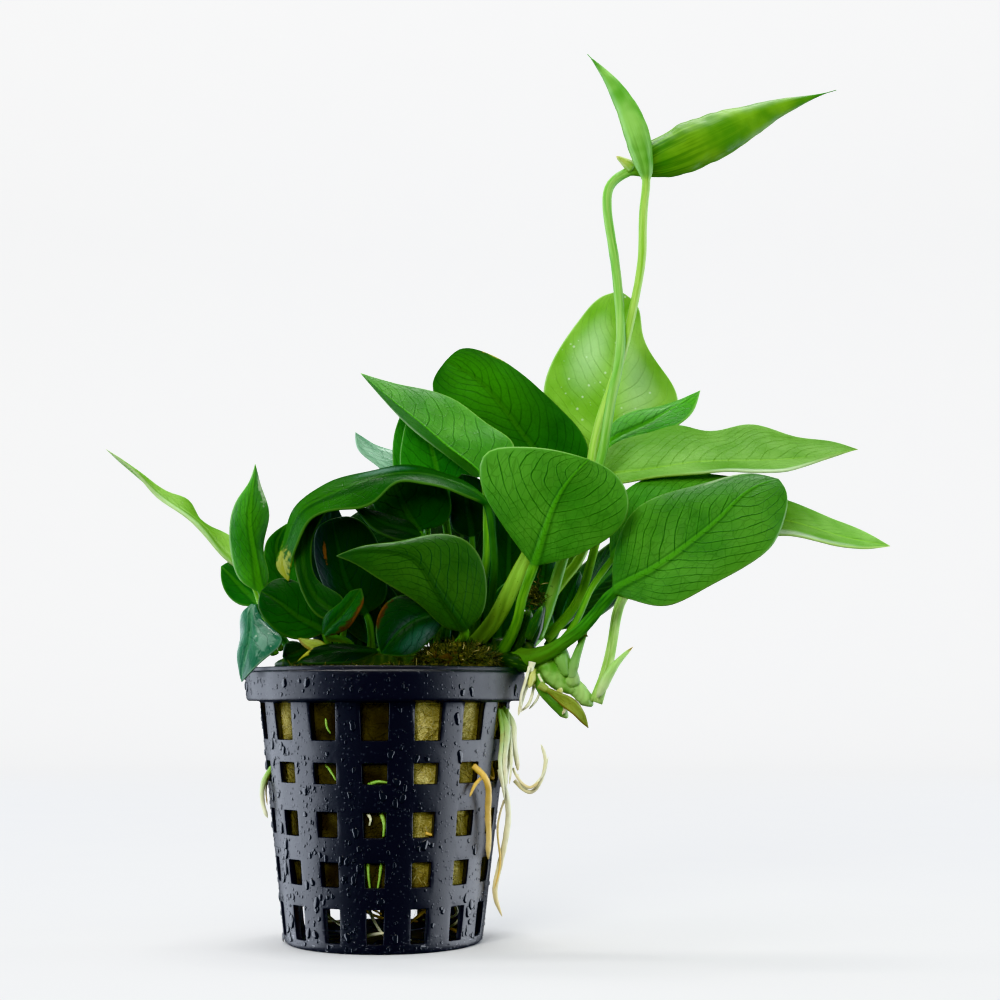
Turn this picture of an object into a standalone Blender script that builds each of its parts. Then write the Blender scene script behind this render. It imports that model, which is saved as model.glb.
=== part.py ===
"""Potted dwarf anubias: a small water plant on its creeping stem, in a black net pot with a wool plug.

Units in the tables are millimetres. +Z is up, -Y is the front, and the origin is the centre of the pot's
underside, so the plant stands on Z = 0.
"""

import math

import bmesh
import bpy
import numpy as np

# Driving dimensions in millimetres
MM = 0.001
RIM_RADIUS = 27.5
RIM_TOP = 52.8
RIM_UNDERSIDE = 46.3
WALL_RADIUS_TOP = 24.6
WALL_RADIUS_FOOT = 19.2
WALL_THICKNESS = 1.0
POT_COLUMNS = 15
POT_TURN = math.radians(-1)
WINDOW_HALF_ANGLES = (math.radians(4.5), math.radians(6.4))
WINDOW_ROWS = ((46.0, 39.1), (34.9, 31.1), (25.9, 21.3), (16.7, 12.2), (8.2, 1.9))
FOOT_RADIUS = 18.7
SLOT_RADII = (15.5, 8.0)
PLUG_FOOT = 9.0
PLUG_TOP = 50.0
PLUG_GAP = 0.6
PLUG_SHOULDER = 1.0
MOSS_HALF_SIZE = (7.5, 5.5, 3.4)
MOSS_CENTRE = (14, -12, 54.1)
BLADE_THICKNESS = 0.8
TIP_HALF_WIDTH = 0.35
STEM_GAP = 0.3

# The eye that the plant's outline was measured from, in millimetres
EYE_ACROSS = 22.6
EYE_HEIGHT = 46.5
EYE_DISTANCE = 340.0

# Shares of a blade's or a hood's length at which it has a ring, and shares of a stalk's
BLADE_STATIONS = (0.0, 0.05, 0.16, 0.32, 0.5, 0.68, 0.85, 0.985)
HOOD_STATIONS = (0.0, 0.08, 0.2, 0.36, 0.54, 0.72, 0.88, 0.99)
STALK_STATIONS = (0.0, 0.36, 0.7)
FLOWER_STALK_RINGS = 12
RING_SIDES = 8
STEM_RINGS = {"rhizome": 8, "rhizome_branch": 5}
SHOOT_RINGS = 5
ROOT_RINGS = 7
PLUG_SIDES = 20
MOSS_SUBDIVISIONS = 2

# How fast a stalk's roundness fades into its blade, and how far a flower stalk's rings crowd to the hood
BASE_FADE = 8
STALK_CROWDING = 1.4

# Step of a curve's direction as a share of its length, samples when finding the nearest stem, and the
# distance in metres under which a turned solid's points on the axis are one point
DIRECTION_STEP = 0.002
STEM_SAMPLES = 120
MERGE_DISTANCE = 0.00001

# Colours as linear red, green and blue, with roughness
BLACK_PLASTIC = (0.012, 0.012, 0.018, 0.35)
WOOL = (0.36, 0.24, 0.06, 0.95)
MOSS = (0.10, 0.11, 0.02, 0.95)
STEM_GREEN = (0.22, 0.45, 0.06, 0.45)
LEAF_DARK = (0.015, 0.11, 0.012, 0.35)
LEAF_MID = (0.06, 0.26, 0.02, 0.4)
LEAF_LIGHT = (0.16, 0.48, 0.03, 0.4)
LEAF_PALE = (0.12, 0.35, 0.16, 0.4)
BRACT_YELLOW = (0.34, 0.42, 0.06, 0.55)
ROOT_OCHRE = (0.62, 0.55, 0.22, 0.6)

# Leaves. A point is (across, depth, height): across and height as they show from the front on the plane
# of the pot's axis, depth in front of that plane (minus) or behind it. The stalk runs from the creeping stem
# to the blade's first midrib point. "left" and "right" are the margins between the blade's base and tip, as
# they show from the front with the tip up. "arch" is how far each half bulges towards the front, "ripple" the
# margin's waves (height and number), and "thick" the stalk's radius.
LEAVES = {
    "leaf_far_left": dict(
        stalk=((-22, 6, 56.5), (-24.5, 7, 63.5)),
        midrib=(
            (-28, 7, 72), (-33, 6.5, 76.5), (-38, 6, 82), (-43, 5.5, 85.5), (-47.5, 5, 89),
            (-56.5, 4, 96.5),
        ),
        left=((-31, 4, 73.5), (-36, 3, 78.5), (-41.5, 3, 83.5), (-46.5, 4, 87.5), (-51.5, 4, 92.5)),
        right=(
            (-29.5, 10, 77), (-33, 11, 80), (-37, 11, 82), (-39.5, 10, 86), (-43.5, 8, 87.5),
            (-48, 6, 90.5),
        ),
        arch=0.3, ripple=(0.3, 2), tone=LEAF_LIGHT, thick=0.6,
    ),
    "leaf_upright_left": dict(
        stalk=((-20.5, 1, 56.5), (-22.5, -3, 62)),
        midrib=((-25, -6, 68), (-26.5, -8, 76), (-27.5, -8.5, 82.5), (-27, -8, 88.5), (-26.5, -6, 93.5)),
        left=((-29, -6.5, 70), (-31, -7, 75), (-31.5, -7.5, 81), (-30, -7.5, 86.5), (-28, -7, 89.5)),
        right=(
            (-23.5, -5, 70.5), (-24.5, -5.5, 76), (-24, -5.5, 80), (-23.5, -5.5, 83.5), (-25, -5.5, 88.5),
        ),
        arch=0.5, ripple=(0.2, 2), tone=LEAF_LIGHT, thick=0.6,
    ),
    "leaf_left_low": dict(
        stalk=((-22, 10, 55.5), (-24, 12, 61.5)),
        midrib=((-25.5, 13, 65.5), (-28, 14, 68), (-31, 14.5, 71), (-33, 15, 73)),
        left=((-28, 13, 65), (-31.5, 14, 67), (-33, 14.5, 70.5)),
        right=((-25.5, 14, 69.5), (-28, 15, 72.5), (-31, 15.5, 74)),
        arch=0.3, ripple=(0.2, 1), tone=LEAF_DARK, thick=0.6,
    ),
    "leaf_over_rim": dict(
        stalk=((-19, -3, 56.5), (-23.5, -6, 62.5)),
        midrib=((-26.5, -9, 65), (-27, -11.5, 60.5), (-27.5, -13.5, 56), (-28.5, -14, 50)),
        left=((-24.5, -9.5, 62.5), (-20.5, -12, 58), (-23.5, -14.5, 55), (-26.5, -15.5, 52)),
        right=((-28.5, -9.5, 64), (-29, -11, 59), (-29.5, -13, 55)),
        arch=0.4, ripple=(0.3, 2), tone=LEAF_PALE, thick=0.6,
    ),
    "leaf_oval_left": dict(
        stalk=((-12, -3, 55.5), (-11.5, -8, 57.5)),
        midrib=((-12.5, -11, 60), (-17, -12, 62.5), (-21, -12.5, 65.5), (-25, -12.5, 68)),
        left=((-15.5, -12.5, 58.5), (-20, -13, 59), (-24, -13.5, 62), (-25.5, -13, 65)),
        right=((-13.5, -9.5, 65.5), (-17, -10, 69.5), (-22, -11, 70.5)),
        arch=0.5, ripple=(0.2, 1), tone=LEAF_DARK, thick=0.6,
    ),
    "leaf_behind_curl": dict(
        stalk=((-16, 5, 55.5), (-17.5, 7, 62.5)),
        midrib=((-19, 8, 66), (-21, 9, 72.5), (-22, 10, 77), (-20, 11, 81.5)),
        left=((-23, 8, 68), (-24.5, 9, 74), (-24, 10, 78)),
        right=((-15.5, 9, 69), (-15.5, 10, 75), (-17, 11, 80)),
        arch=0.3, ripple=(0.2, 1), tone=LEAF_DARK, thick=0.6,
    ),
    "leaf_arching": dict(
        stalk=((20.5, -1, 58.5), (21, -4.5, 66), (21.5, -10, 74), (21, -13, 81)),
        midrib=(
            (20, -13.5, 85.5), (14, -14, 89.5), (6.5, -14, 91.5), (-0.5, -14, 91), (-7.5, -14, 89),
            (-13, -13.5, 86.5), (-17.5, -13, 83.5), (-19.5, -12.5, 79), (-20.5, -12, 74),
            (-19.5, -12, 70),
        ),
        left=(
            (14.5, -16.5, 87.5), (7.5, -17, 89.5), (2.5, -17, 90.5), (-2.5, -17.5, 87.5), (-7.5, -17, 87),
            (-11.5, -16, 85.5), (-15.5, -15.5, 82), (-18, -15, 77), (-19, -13.5, 73),
        ),
        right=(
            (17.5, -11, 88.5), (10.5, -9.5, 92), (2.5, -9, 93), (-4.5, -9, 92), (-10.5, -9, 90),
            (-15, -9.5, 88), (-18.5, -10, 85), (-20.5, -10, 78), (-22, -11, 73),
        ),
        arch=0.3, ripple=(0.3, 4), tone=LEAF_MID, thick=0.8,
    ),
    "leaf_curl_left": dict(
        stalk=((-9.5, 0, 55.5), (-8.5, -9, 59.5)),
        midrib=(
            (-9.5, -14, 63), (-13.5, -14.5, 66), (-16.5, -13.2, 72), (-16.5, -10.5, 78), (-15, -9, 83.5),
            (-10, -8, 87.5),
        ),
        left=(
            (-12.5, -15.5, 62.5), (-16.5, -15.5, 67), (-18.5, -12.5, 74), (-18, -9.5, 80),
            (-16, -8, 84.5),
        ),
        right=((-8.5, -13, 66), (-13, -12.8, 69.5), (-15, -11.5, 75), (-14.5, -10, 79), (-12, -8.5, 84)),
        arch=0.2, ripple=(0.2, 2), tone=LEAF_DARK, thick=0.6,
    ),
    "leaf_inner_dark": dict(
        stalk=((-3, -1, 55.5), (-3, -3, 59.5)),
        midrib=((-4, -4, 63.5), (-7.5, -5.5, 69), (-9.5, -6, 76), (-11, -5.5, 82.5)),
        left=((-8, -4, 64), (-13, -4, 70), (-14.5, -4.5, 76), (-13.5, -5, 81)),
        right=((-0.5, -4, 66), (-0.5, -4.5, 73), (-3, -5, 80), (-7.5, -5.5, 83)),
        arch=0.5, ripple=(0.2, 1), tone=LEAF_DARK, thick=0.6,
    ),
    "leaf_brown_margin": dict(
        stalk=((-6, -3, 55.5), (-9, -12, 58.5)),
        midrib=((-12, -18, 59.5), (-8.5, -20, 63.5), (-5, -20, 68.5)),
        left=((-12.5, -18.5, 62.5), (-9.5, -19.5, 65.5), (-7, -19.5, 68)),
        right=((-8.5, -20, 60), (-6, -21.5, 62.5), (-4.5, -21, 66)),
        arch=0.3, ripple=(0.2, 2), tone=LEAF_PALE, thick=0.6,
    ),
    "leaf_low_front": dict(
        stalk=((2, -2, 55.5), (0.5, -8, 56)),
        midrib=((-2, -15, 56), (-9, -19, 56), (-17.5, -21, 54)),
        left=((-5.5, -18, 54), (-10.5, -21, 53.5), (-15, -22, 53.5)),
        right=((-5, -14, 57), (-10.5, -17, 57.5), (-15, -20, 56.5)),
        arch=0.3, ripple=(0.2, 1), tone=LEAF_DARK, thick=0.6,
    ),
    "leaf_low_left": dict(
        stalk=((-15.5, 1, 55.5), (-15, -2, 56.5)),
        midrib=((-16, -6, 56.5), (-18, -7, 55.5), (-20.5, -7.5, 55)),
        left=((-17.5, -7, 54), (-19, -7.5, 53.5)),
        right=((-17.5, -6.5, 58), (-19.5, -7, 58)),
        arch=0.2, ripple=(0.1, 1), tone=LEAF_DARK, thick=0.6,
    ),
    "leaf_front_left": dict(
        stalk=((13, -2, 56.5), (15, -11, 58.5)),
        midrib=(
            (15.5, -16, 60.5), (12.5, -19, 65), (9, -21, 70), (5.5, -22, 74.5), (1, -22.5, 76),
            (-4.5, -22.5, 76), (-10, -21.5, 75),
        ),
        left=((12.5, -16, 60.5), (7.5, -18, 64.5), (2.5, -20, 68), (-2.5, -21, 71), (-6.5, -21.5, 73.5)),
        right=(
            (19, -18, 63.5), (20, -19, 68.5), (19, -19.5, 74), (16, -20, 78), (10.5, -20.5, 79.5),
            (2.5, -21.5, 78), (-5, -22, 77),
        ),
        arch=0.8, ripple=(0.2, 2), tone=LEAF_MID, thick=0.8,
    ),
    "leaf_round_low": dict(
        stalk=((10, -1, 57.5), (11, -9, 62)),
        midrib=((11, -14, 63.5), (6, -17, 62.5), (2, -19, 59.5), (-1, -20, 55.5)),
        left=((11, -14.5, 61), (8.5, -16.5, 58), (5.5, -18.5, 55.5), (2, -20, 55)),
        right=((7.5, -15, 66.5), (2, -17, 67), (-1.5, -19, 63.5), (-2, -20, 59)),
        arch=0.6, ripple=(0.2, 2), tone=LEAF_DARK, thick=0.6,
    ),
    "leaf_upper_left": dict(
        stalk=((17, 0, 57.5), (18.5, -4, 66), (20, -7, 76), (20, -8.5, 84)),
        midrib=((19, -10, 91.5), (13.5, -11, 96), (7.5, -11, 101), (2, -10.5, 105.5), (-5.5, -9, 112)),
        left=((17.5, -6, 91), (12, -4, 95), (5.5, -4, 100), (0, -6, 105.5)),
        right=(
            (23, -7, 92), (25.5, -5, 97), (20.5, -4, 101.5), (14.5, -4, 106), (8.5, -5, 108.5),
            (1.5, -7, 110),
        ),
        arch=0.5, ripple=(0.2, 2), tone=LEAF_LIGHT, thick=0.8,
    ),
    "leaf_top_dark": dict(
        stalk=((18, -6, 58), (22, -9.5, 63), (25, -9, 69), (28.5, -4, 76), (31.5, 1, 83)),
        midrib=((34, 3, 89.5), (29.5, 5, 96.5), (23.5, 7, 104.5), (17.5, 9, 111), (11.5, 11, 114.5)),
        left=((26.5, 2, 89.5), (18.5, 3, 94.5), (13, 5, 100.5), (10, 7.5, 106), (9, 9.5, 110)),
        right=(
            (39, 4, 90.5), (40.5, 5.5, 95.5), (38.5, 7, 100.5), (33.5, 8.5, 106), (26.5, 10, 112.5),
            (19.5, 11, 116.5), (14.5, 11.5, 117),
        ),
        arch=0.8, ripple=(0.3, 1), tone=LEAF_DARK, thick=1.3,
    ),
    "leaf_mid_left": dict(
        stalk=((11.5, 3, 58.5), (13, 4, 68), (12.5, 3, 77)),
        midrib=((11, 2, 86.5), (9.5, 2, 94.5), (7.5, 2, 101.5), (6.5, 2.5, 106.5)),
        left=((5.5, 1, 87), (2.5, 1, 93.5), (3, 1.5, 99), (4.5, 2, 104)),
        right=((17, 1, 88.5), (16.5, 1, 95.5), (12, 1.5, 102.5)),
        arch=0.4, ripple=(0.2, 1), tone=LEAF_MID, thick=0.8,
    ),
    "leaf_mid_left_back": dict(
        stalk=((7.5, 7, 57.5), (9, 8, 66), (8.5, 7, 76)),
        midrib=((7.5, 6, 85.5), (5.5, 5.5, 94), (4, 5.5, 100.5), (3.5, 6, 105.5)),
        left=((3, 5.5, 87.5), (1, 5, 94), (1.5, 5.5, 100.5)),
        right=((10, 6, 88.5), (9, 5.5, 94.5), (6.5, 5.5, 101.5)),
        arch=0.3, ripple=(0.2, 1), tone=LEAF_DARK, thick=0.6,
    ),
    "leaf_pale_tip": dict(
        stalk=((3, 8, 56.5), (5.5, 11, 66), (7.5, 12, 78)),
        midrib=((7.5, 13, 89), (1.5, 13.5, 93.5), (-3, 14, 96.5), (-6.5, 14, 100)),
        left=((3, 12, 89), (-2.5, 12, 93.5), (-6, 13, 96.5)),
        right=((7.5, 15, 94), (1.5, 16, 96), (-3.5, 15.5, 98)),
        arch=0.2, ripple=(0.2, 2), tone=LEAF_PALE, thick=0.6,
    ),
    "leaf_mid_green": dict(
        stalk=((7.5, -1, 58.5), (8.5, -3, 68), (8, -4, 75)),
        midrib=((6.5, -5, 80), (4, -6, 84), (2, -6, 88.5), (0, -5, 93)),
        left=((2, -5, 82), (-2.5, -5, 84.5), (-2, -5, 89.5)),
        right=((12, -5, 82), (12.5, -5.5, 87.5), (7.5, -5, 92.5)),
        arch=0.4, ripple=(0.2, 1), tone=LEAF_MID, thick=0.6,
    ),
    "leaf_dark_strip": dict(
        stalk=((10, 1, 57.5), (10.5, -4, 68), (9, -9.5, 75)),
        midrib=((6.5, -12, 79), (1, -13, 81), (-7, -12, 85.5)),
        left=((2.5, -14, 78), (-3.5, -14, 81)),
        right=((5, -10.5, 81.5), (-1, -10.5, 83.5)),
        arch=0.2, ripple=(0.2, 2), tone=LEAF_DARK, thick=0.6,
    ),
    "leaf_dark_inside": dict(
        stalk=((15, 1, 58.5), (16.5, 1, 66), (17, 0, 74)),
        midrib=((17, -2, 79), (16, -2, 85.5), (15, -1.5, 91.5)),
        left=((13.5, -2, 80), (12.5, -2, 84.5), (13, -1.5, 89.5)),
        right=((21, -2, 82), (21, -2, 86.5), (18.5, -1.5, 90.5)),
        arch=0.3, ripple=(0.1, 1), tone=LEAF_DARK, thick=0.6,
    ),
    "leaf_front_broad": dict(
        stalk=((23, -5, 56), (26, -10, 62), (27, -13, 66.5)),
        midrib=((29.5, -16, 73.5), (31.5, -19, 80), (34, -21, 86.5), (37, -22.5, 91), (40.5, -23, 94.5)),
        left=(
            (25, -17, 78.5), (20.5, -18, 85.5), (18.5, -18.5, 91), (19.5, -19.5, 95.5), (25, -21, 97),
            (33, -22.5, 96.5),
        ),
        right=((36, -18, 74.5), (43.5, -19, 78), (48, -20, 83), (48, -20.5, 88), (44.5, -21.5, 92.5)),
        arch=0.7, ripple=(0.2, 2), tone=LEAF_MID, thick=0.9,
    ),
    "leaf_front_right": dict(
        stalk=((28, -7, 54.5), (34, -10, 58), (40, -12, 63)),
        midrib=(
            (45.5, -14, 68), (52.5, -17, 72), (60.5, -19, 77.5), (67, -20, 83), (71.5, -19.5, 87.5),
            (78.5, -17, 90.5),
        ),
        left=(
            (45, -13, 72), (46, -13, 78), (49.5, -13.5, 84), (57, -14.5, 88), (64.5, -15, 90),
            (72.5, -15.5, 91.5),
        ),
        right=(
            (49.5, -17, 66), (55.5, -20, 65), (62.5, -22, 68), (71, -22.5, 72.5), (76.5, -22, 76.5),
            (79.5, -20, 82.5), (80, -18.5, 88),
        ),
        arch=0.9, ripple=(0.2, 2), tone=LEAF_MID, thick=1,
    ),
    "leaf_right_behind": dict(
        stalk=((33.5, -5, 56.5), (38, -6, 62.5), (40.5, -6, 68)),
        midrib=((45, -6.5, 74.5), (51.5, -8, 83), (61.5, -8, 88), (72.5, -7, 90.5)),
        left=((44.5, -5, 80), (47, -4.5, 87.5), (53.5, -5, 91), (63.5, -5.5, 91.5)),
        right=((51.5, -9, 77), (60.5, -11, 82), (68.5, -10, 86)),
        arch=0.4, ripple=(0.2, 1), tone=LEAF_MID, thick=0.6,
    ),
    "leaf_long_right": dict(
        stalk=((31.5, 2, 58.5), (38, 1.5, 66), (41, 0.5, 75), (42.5, 0, 83)),
        midrib=(
            (43, -1, 90), (50.5, -2, 92), (60.5, -3, 93.5), (72, -3, 94), (83, -2, 94.5), (94.5, 0, 96.5),
        ),
        left=(
            (42.5, 3, 94.5), (46.5, 6, 98), (53, 8, 100), (59, 9, 101.5), (65, 8, 100), (73, 8, 101.5),
            (82, 6, 99), (89, 3, 98),
        ),
        right=(
            (47, -4, 89.5), (54.5, -8, 91), (62.5, -9.5, 91.5), (71.5, -9.5, 92), (80, -8, 92),
            (88, -4, 94.5),
        ),
        arch=0.6, ripple=(0.2, 3), tone=LEAF_LIGHT, thick=0.9,
    ),
    "leaf_right_low": dict(
        stalk=((41.5, -6, 46), (43.5, -6, 52), (45, -6, 58.5), (46.5, -6, 65.5)),
        midrib=(
            (49.5, -6, 70), (58.5, -6, 77), (70.5, -5, 82), (81.5, -3, 81.5), (91.5, -1, 78.5),
            (100.5, 1, 77),
        ),
        left=((49.5, -3, 75), (58.5, 0, 84), (70.5, 2, 88), (81, 3, 86), (88.5, 3, 82.5), (95, 2, 80)),
        right=((55.5, -9, 70.5), (66.5, -11, 76), (79.5, -9, 79), (87.5, -6, 77.5), (95, -3, 76.5)),
        arch=0.4, ripple=(0.2, 2), tone=LEAF_LIGHT, thick=1,
    ),
    "leaf_small_right": dict(
        stalk=((28, 3, 57.5), (34, 6.5, 66), (39.5, 9.5, 77), (42, 11, 87.5)),
        midrib=((44, 11.5, 97), (51, 12.5, 101), (57, 13, 104.5), (63, 12, 108.5)),
        left=((44.5, 13.5, 101), (51, 15.5, 104.5), (57.5, 15, 106)),
        right=((50, 10.5, 97), (56.5, 10.5, 100), (61, 11, 103.5)),
        arch=0.3, ripple=(0.2, 2), tone=LEAF_MID, thick=0.6,
    ),
    "leaf_tall_light": dict(
        stalk=((25, 4, 57.5), (30, 8, 65), (36.5, 12, 74.5), (40.5, 13.5, 84)),
        midrib=((42.5, 14, 92.5), (44, 16, 100.5), (45, 18.5, 110.5), (46.5, 20.5, 121), (47, 21, 129)),
        left=(
            (36.5, 15, 96), (32, 15.5, 103), (31.5, 16.5, 109.5), (34.5, 18, 117), (39, 19.5, 123.5),
            (43.5, 20.5, 128),
        ),
        right=(
            (49.5, 17, 94.5), (56.5, 19, 100.5), (58.5, 19.5, 106.5), (55, 19, 113.5),
            (51.5, 19.5, 120.5), (50.5, 20.5, 126),
        ),
        arch=0.6, ripple=(0.3, 1), tone=LEAF_LIGHT, thick=0.9,
    ),
    "leaf_back_left": dict(
        stalk=((0, 9, 56.5), (-1.5, 13, 61.5)),
        midrib=((-3, 16, 66), (-4.5, 20, 74), (-3, 24, 82), (-0.5, 26, 86.5)),
        left=((-11, 17, 66.5), (-13.5, 20, 74), (-8.5, 23, 82)),
        right=((5.5, 17, 66), (7.5, 20, 74), (4.5, 23, 82.5)),
        arch=0.6, ripple=(0.3, 2), tone=LEAF_DARK, thick=0.8,
    ),
    "leaf_back_middle": dict(
        stalk=((12.5, 7, 57.5), (13.5, 11, 62)),
        midrib=((13.5, 14, 66), (14.5, 19, 74), (15.5, 24, 84), (16.5, 28, 92.5)),
        left=((7.5, 15, 68), (6, 19, 77), (9, 24, 87.5)),
        right=((19.5, 15, 68), (19.5, 19, 77), (20, 24, 87.5)),
        arch=0.6, ripple=(0.3, 2), tone=LEAF_MID, thick=0.8,
    ),
    "leaf_back_right": dict(
        stalk=((28, 6, 56.5), (29.5, 11, 58)),
        midrib=((32, 14, 60.5), (38.5, 18, 66), (46.5, 24, 74), (55.5, 30, 82)),
        left=((32.5, 14, 66), (38.5, 19, 73), (48.5, 25, 80)),
        right=((39.5, 16, 61.5), (47.5, 22, 67), (53.5, 28, 74)),
        arch=0.6, ripple=(0.3, 2), tone=LEAF_MID, thick=0.8,
    ),
}

# Small sheaths at the foot of the leaves, made as leaves with hardly a stalk
BRACTS = {
    "bract_left": dict(
        stalk=((-9, -13.5, 56),),
        midrib=((-11.5, -15, 56.5), (-14, -16, 57.5), (-17.5, -15.5, 58.5)),
        left=((-13, -16.5, 56), (-15.5, -16.5, 56.5)),
        right=((-13, -15, 58), (-15.5, -14.5, 58.5)),
        arch=0.2, ripple=(0.2, 1), tone=BRACT_YELLOW, thick=0.5,
    ),
    "bract_right": dict(
        stalk=((30.5, -11, 49.5),),
        midrib=((32, -11.5, 48.5), (35.5, -12, 47), (38.5, -12, 44.5), (40, -11.5, 41)),
        left=((34.5, -11.5, 48), (38, -11.5, 46)),
        right=((34, -12, 46), (37, -12.5, 43.5)),
        arch=0.2, ripple=(0.2, 2), tone=BRACT_YELLOW, thick=0.5,
    ),
}

# Two flowers still shut: a long stalk and, grown on its end, the hood that wraps the flower. "stalk" and
# "hood" are points as above, "side" the way to the hood's right edge at its base and tip, "half" its half
# width, "depth" its thickness as a share of that, and "form" how it widens and fades along its length.
FLOWERS = {
    "flower_nodding": dict(
        stalk=(
            (29.5, -2, 59), (32.5, -3.5, 66), (35, -5, 74), (39, -6, 84.5), (43, -6.6, 95), (45, -6.6, 106.5),
            (46.5, -6, 113.5), (47, -4.5, 122), (46.5, -2.5, 130), (45.5, -0.5, 138.5), (44.5, 0.5, 146),
            (45.5, 1, 151.5), (49, 1, 154),
        ),
        hood=((56, 1, 157), (67, 0.5, 161.6), (79, 0.5, 167), (92, 1, 171.3)),
        side=((-0.35, 0, 0.93), (-0.3, 0, 0.95)),
        half=4.6, depth=0.62, form=(0.75, 0.95), tone=LEAF_LIGHT, thick=0.85,
    ),
    "flower_upright": dict(
        stalk=(
            (28.5, 0.5, 58.5), (31, 0, 64), (35, -1, 70), (39, -2, 75.5), (40.5, -2.5, 84), (41, -3, 95),
            (44, -3.2, 106.5), (47, -3.2, 115), (49.5, -3.4, 125), (51.5, -3.8, 136.5), (52, -4.4, 147),
            (52.5, -5, 152),
        ),
        hood=((51.8, -5.4, 157), (49, -5.6, 166.6), (44.6, -5.4, 174.2), (40.6, -5, 179)),
        side=((1, 0, 0.1), (0.8, 0, 0.55)),
        half=2.5, depth=0.9, form=(0.7, 0.95), tone=LEAF_LIGHT, thick=0.85,
    ),
}

# Round pieces as (point, radius) stations: the creeping stem and its branch, young shoots, and roots
STEMS = {
    "rhizome": (
        ((-22, 5, 53.4), 2.1), ((-10, 4, 53.8), 2.5), ((4, 3, 54.3), 2.8), ((16, 1.5, 54.8), 3.0),
        ((24, -1, 56.2), 2.8), ((29.5, -4.4, 56.8), 2.6),
    ),
    "rhizome_branch": (
        ((33.6, -5.4, 54.2), 2.5), ((36.6, -5.4, 50.6), 2.5), ((38.6, -5.2, 48), 2.3),
        ((39.8, -5, 45.5), 1.7),
    ),
}
SHOOTS = {
    "shoot_right": (((42.5, -11, 46), 0.9), ((44.5, -11, 52.5), 0.9), ((49, -10.5, 57), 0.25)),
    "shoot_middle": (((37, -8.5, 51.5), 1.1), ((38, -9, 56), 0.9), ((40, -9.6, 60.5), 0.3)),
    "shoot_drooping": (
        ((29.5, -8, 52), 1.0), ((31, -9, 48.5), 1.0), ((33.5, -8.4, 45.5), 1.0), ((36, -8, 43), 0.9),
    ),
    "shoot_short": (((28, -8.5, 58.5), 0.8), ((29.5, -10, 61.5), 1.0), ((31, -11, 65), 0.4)),
}
ROOTS = {
    "root_right_long": (
        ((22.6, -7.8, 44.4), 0.6), ((23.9, -8.6, 41.5), 0.6), ((23.7, -8.6, 36), 0.6),
        ((23.5, -7.6, 29), 0.6),
    ),
    "root_right_short": (
        ((23.2, -6.2, 45), 0.5), ((25.1, -6.8, 42), 0.55), ((25.4, -6.6, 38), 0.55), ((26, -5.4, 32.6), 0.5),
    ),
    "root_loop": (
        ((25.4, -3.6, 30.8), 0.4), ((28.5, -3.4, 28.6), 0.4), ((31.4, -3.2, 33.4), 0.4),
        ((30.6, -3, 37.8), 0.3),
    ),
    "root_down_side": (
        ((22.4, -6.2, 33), 0.5), ((23.8, -6.2, 28), 0.6), ((23.3, -5.2, 17.4), 0.6), ((21.8, -4, 8.6), 0.5),
        ((22.9, -3, 4.6), 0.35),
    ),
    "root_from_window": (
        ((17.4, -14.6, 33.6), 0.7), ((19.6, -15.2, 31.4), 0.75), ((20.3, -13, 26.5), 0.75),
        ((20.4, -11, 20), 0.7), ((20.2, -10, 15.5), 0.5),
    ),
    "root_over_rim": (
        ((29, -10.6, 54), 0.7), ((28, -10.8, 50), 0.6), ((27.2, -11.4, 47.6), 0.5), ((26.2, -12, 43.4), 0.4),
    ),
    "root_left": (
        ((-22.2, -6.4, 33.4), 0.45), ((-23.8, -7.2, 30.5), 0.5), ((-24, -7, 27), 0.5),
        ((-22.9, -7, 23.6), 0.4),
    ),
}


def place(points):
    """Points in metres for (across, depth, height) in millimetres, slid along the eye's line of sight."""
    seen = np.array(points, float)
    eye = np.array((EYE_ACROSS, 0.0, EYE_HEIGHT))
    reach = 1 + seen[:, 1:2] / EYE_DISTANCE
    real = eye + (seen - eye) * reach
    real[:, 1] = seen[:, 1]
    return real * MM


def unit(vectors):
    return vectors / np.linalg.norm(vectors, axis=-1, keepdims=True)


class Path:
    """A smooth curve through points: a natural cubic spline over the length of its chords."""

    def __init__(self, points):
        self.points = np.array(points, float)
        chords = np.linalg.norm(np.diff(self.points, axis=0), axis=1)
        self.knots = np.concatenate(([0.0], np.cumsum(chords)))
        self.length = self.knots[-1]
        count = len(self.points)
        system = np.eye(count)
        bends = np.zeros((count, 3))
        for i in range(1, count - 1):
            before = self.knots[i] - self.knots[i - 1]
            after = self.knots[i + 1] - self.knots[i]
            system[i, i - 1 : i + 2] = (before, 2 * (before + after), after)
            rise = (self.points[i + 1] - self.points[i]) / after
            bends[i] = 6 * (rise - (self.points[i] - self.points[i - 1]) / before)
        self.bends = np.linalg.solve(system, bends)

    def at(self, distance):
        """Positions at distances along the chords, held at either end."""
        d = np.clip(np.array(distance, float), 0, self.length)
        i = np.clip(np.searchsorted(self.knots, d, side="right") - 1, 0, len(self.knots) - 2)
        step = (self.knots[i + 1] - self.knots[i])[:, None]
        b = (d - self.knots[i])[:, None] / step
        a = 1 - b
        curve = a * self.points[i] + b * self.points[i + 1]
        return curve + ((a**3 - a) * self.bends[i] + (b**3 - b) * self.bends[i + 1]) * step**2 / 6

    def along(self, distance):
        """Unit directions of the curve at distances along the chords."""
        d = np.array(distance, float)
        nudge = self.length * DIRECTION_STEP
        return unit(self.at(d + nudge) - self.at(d - nudge))


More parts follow.
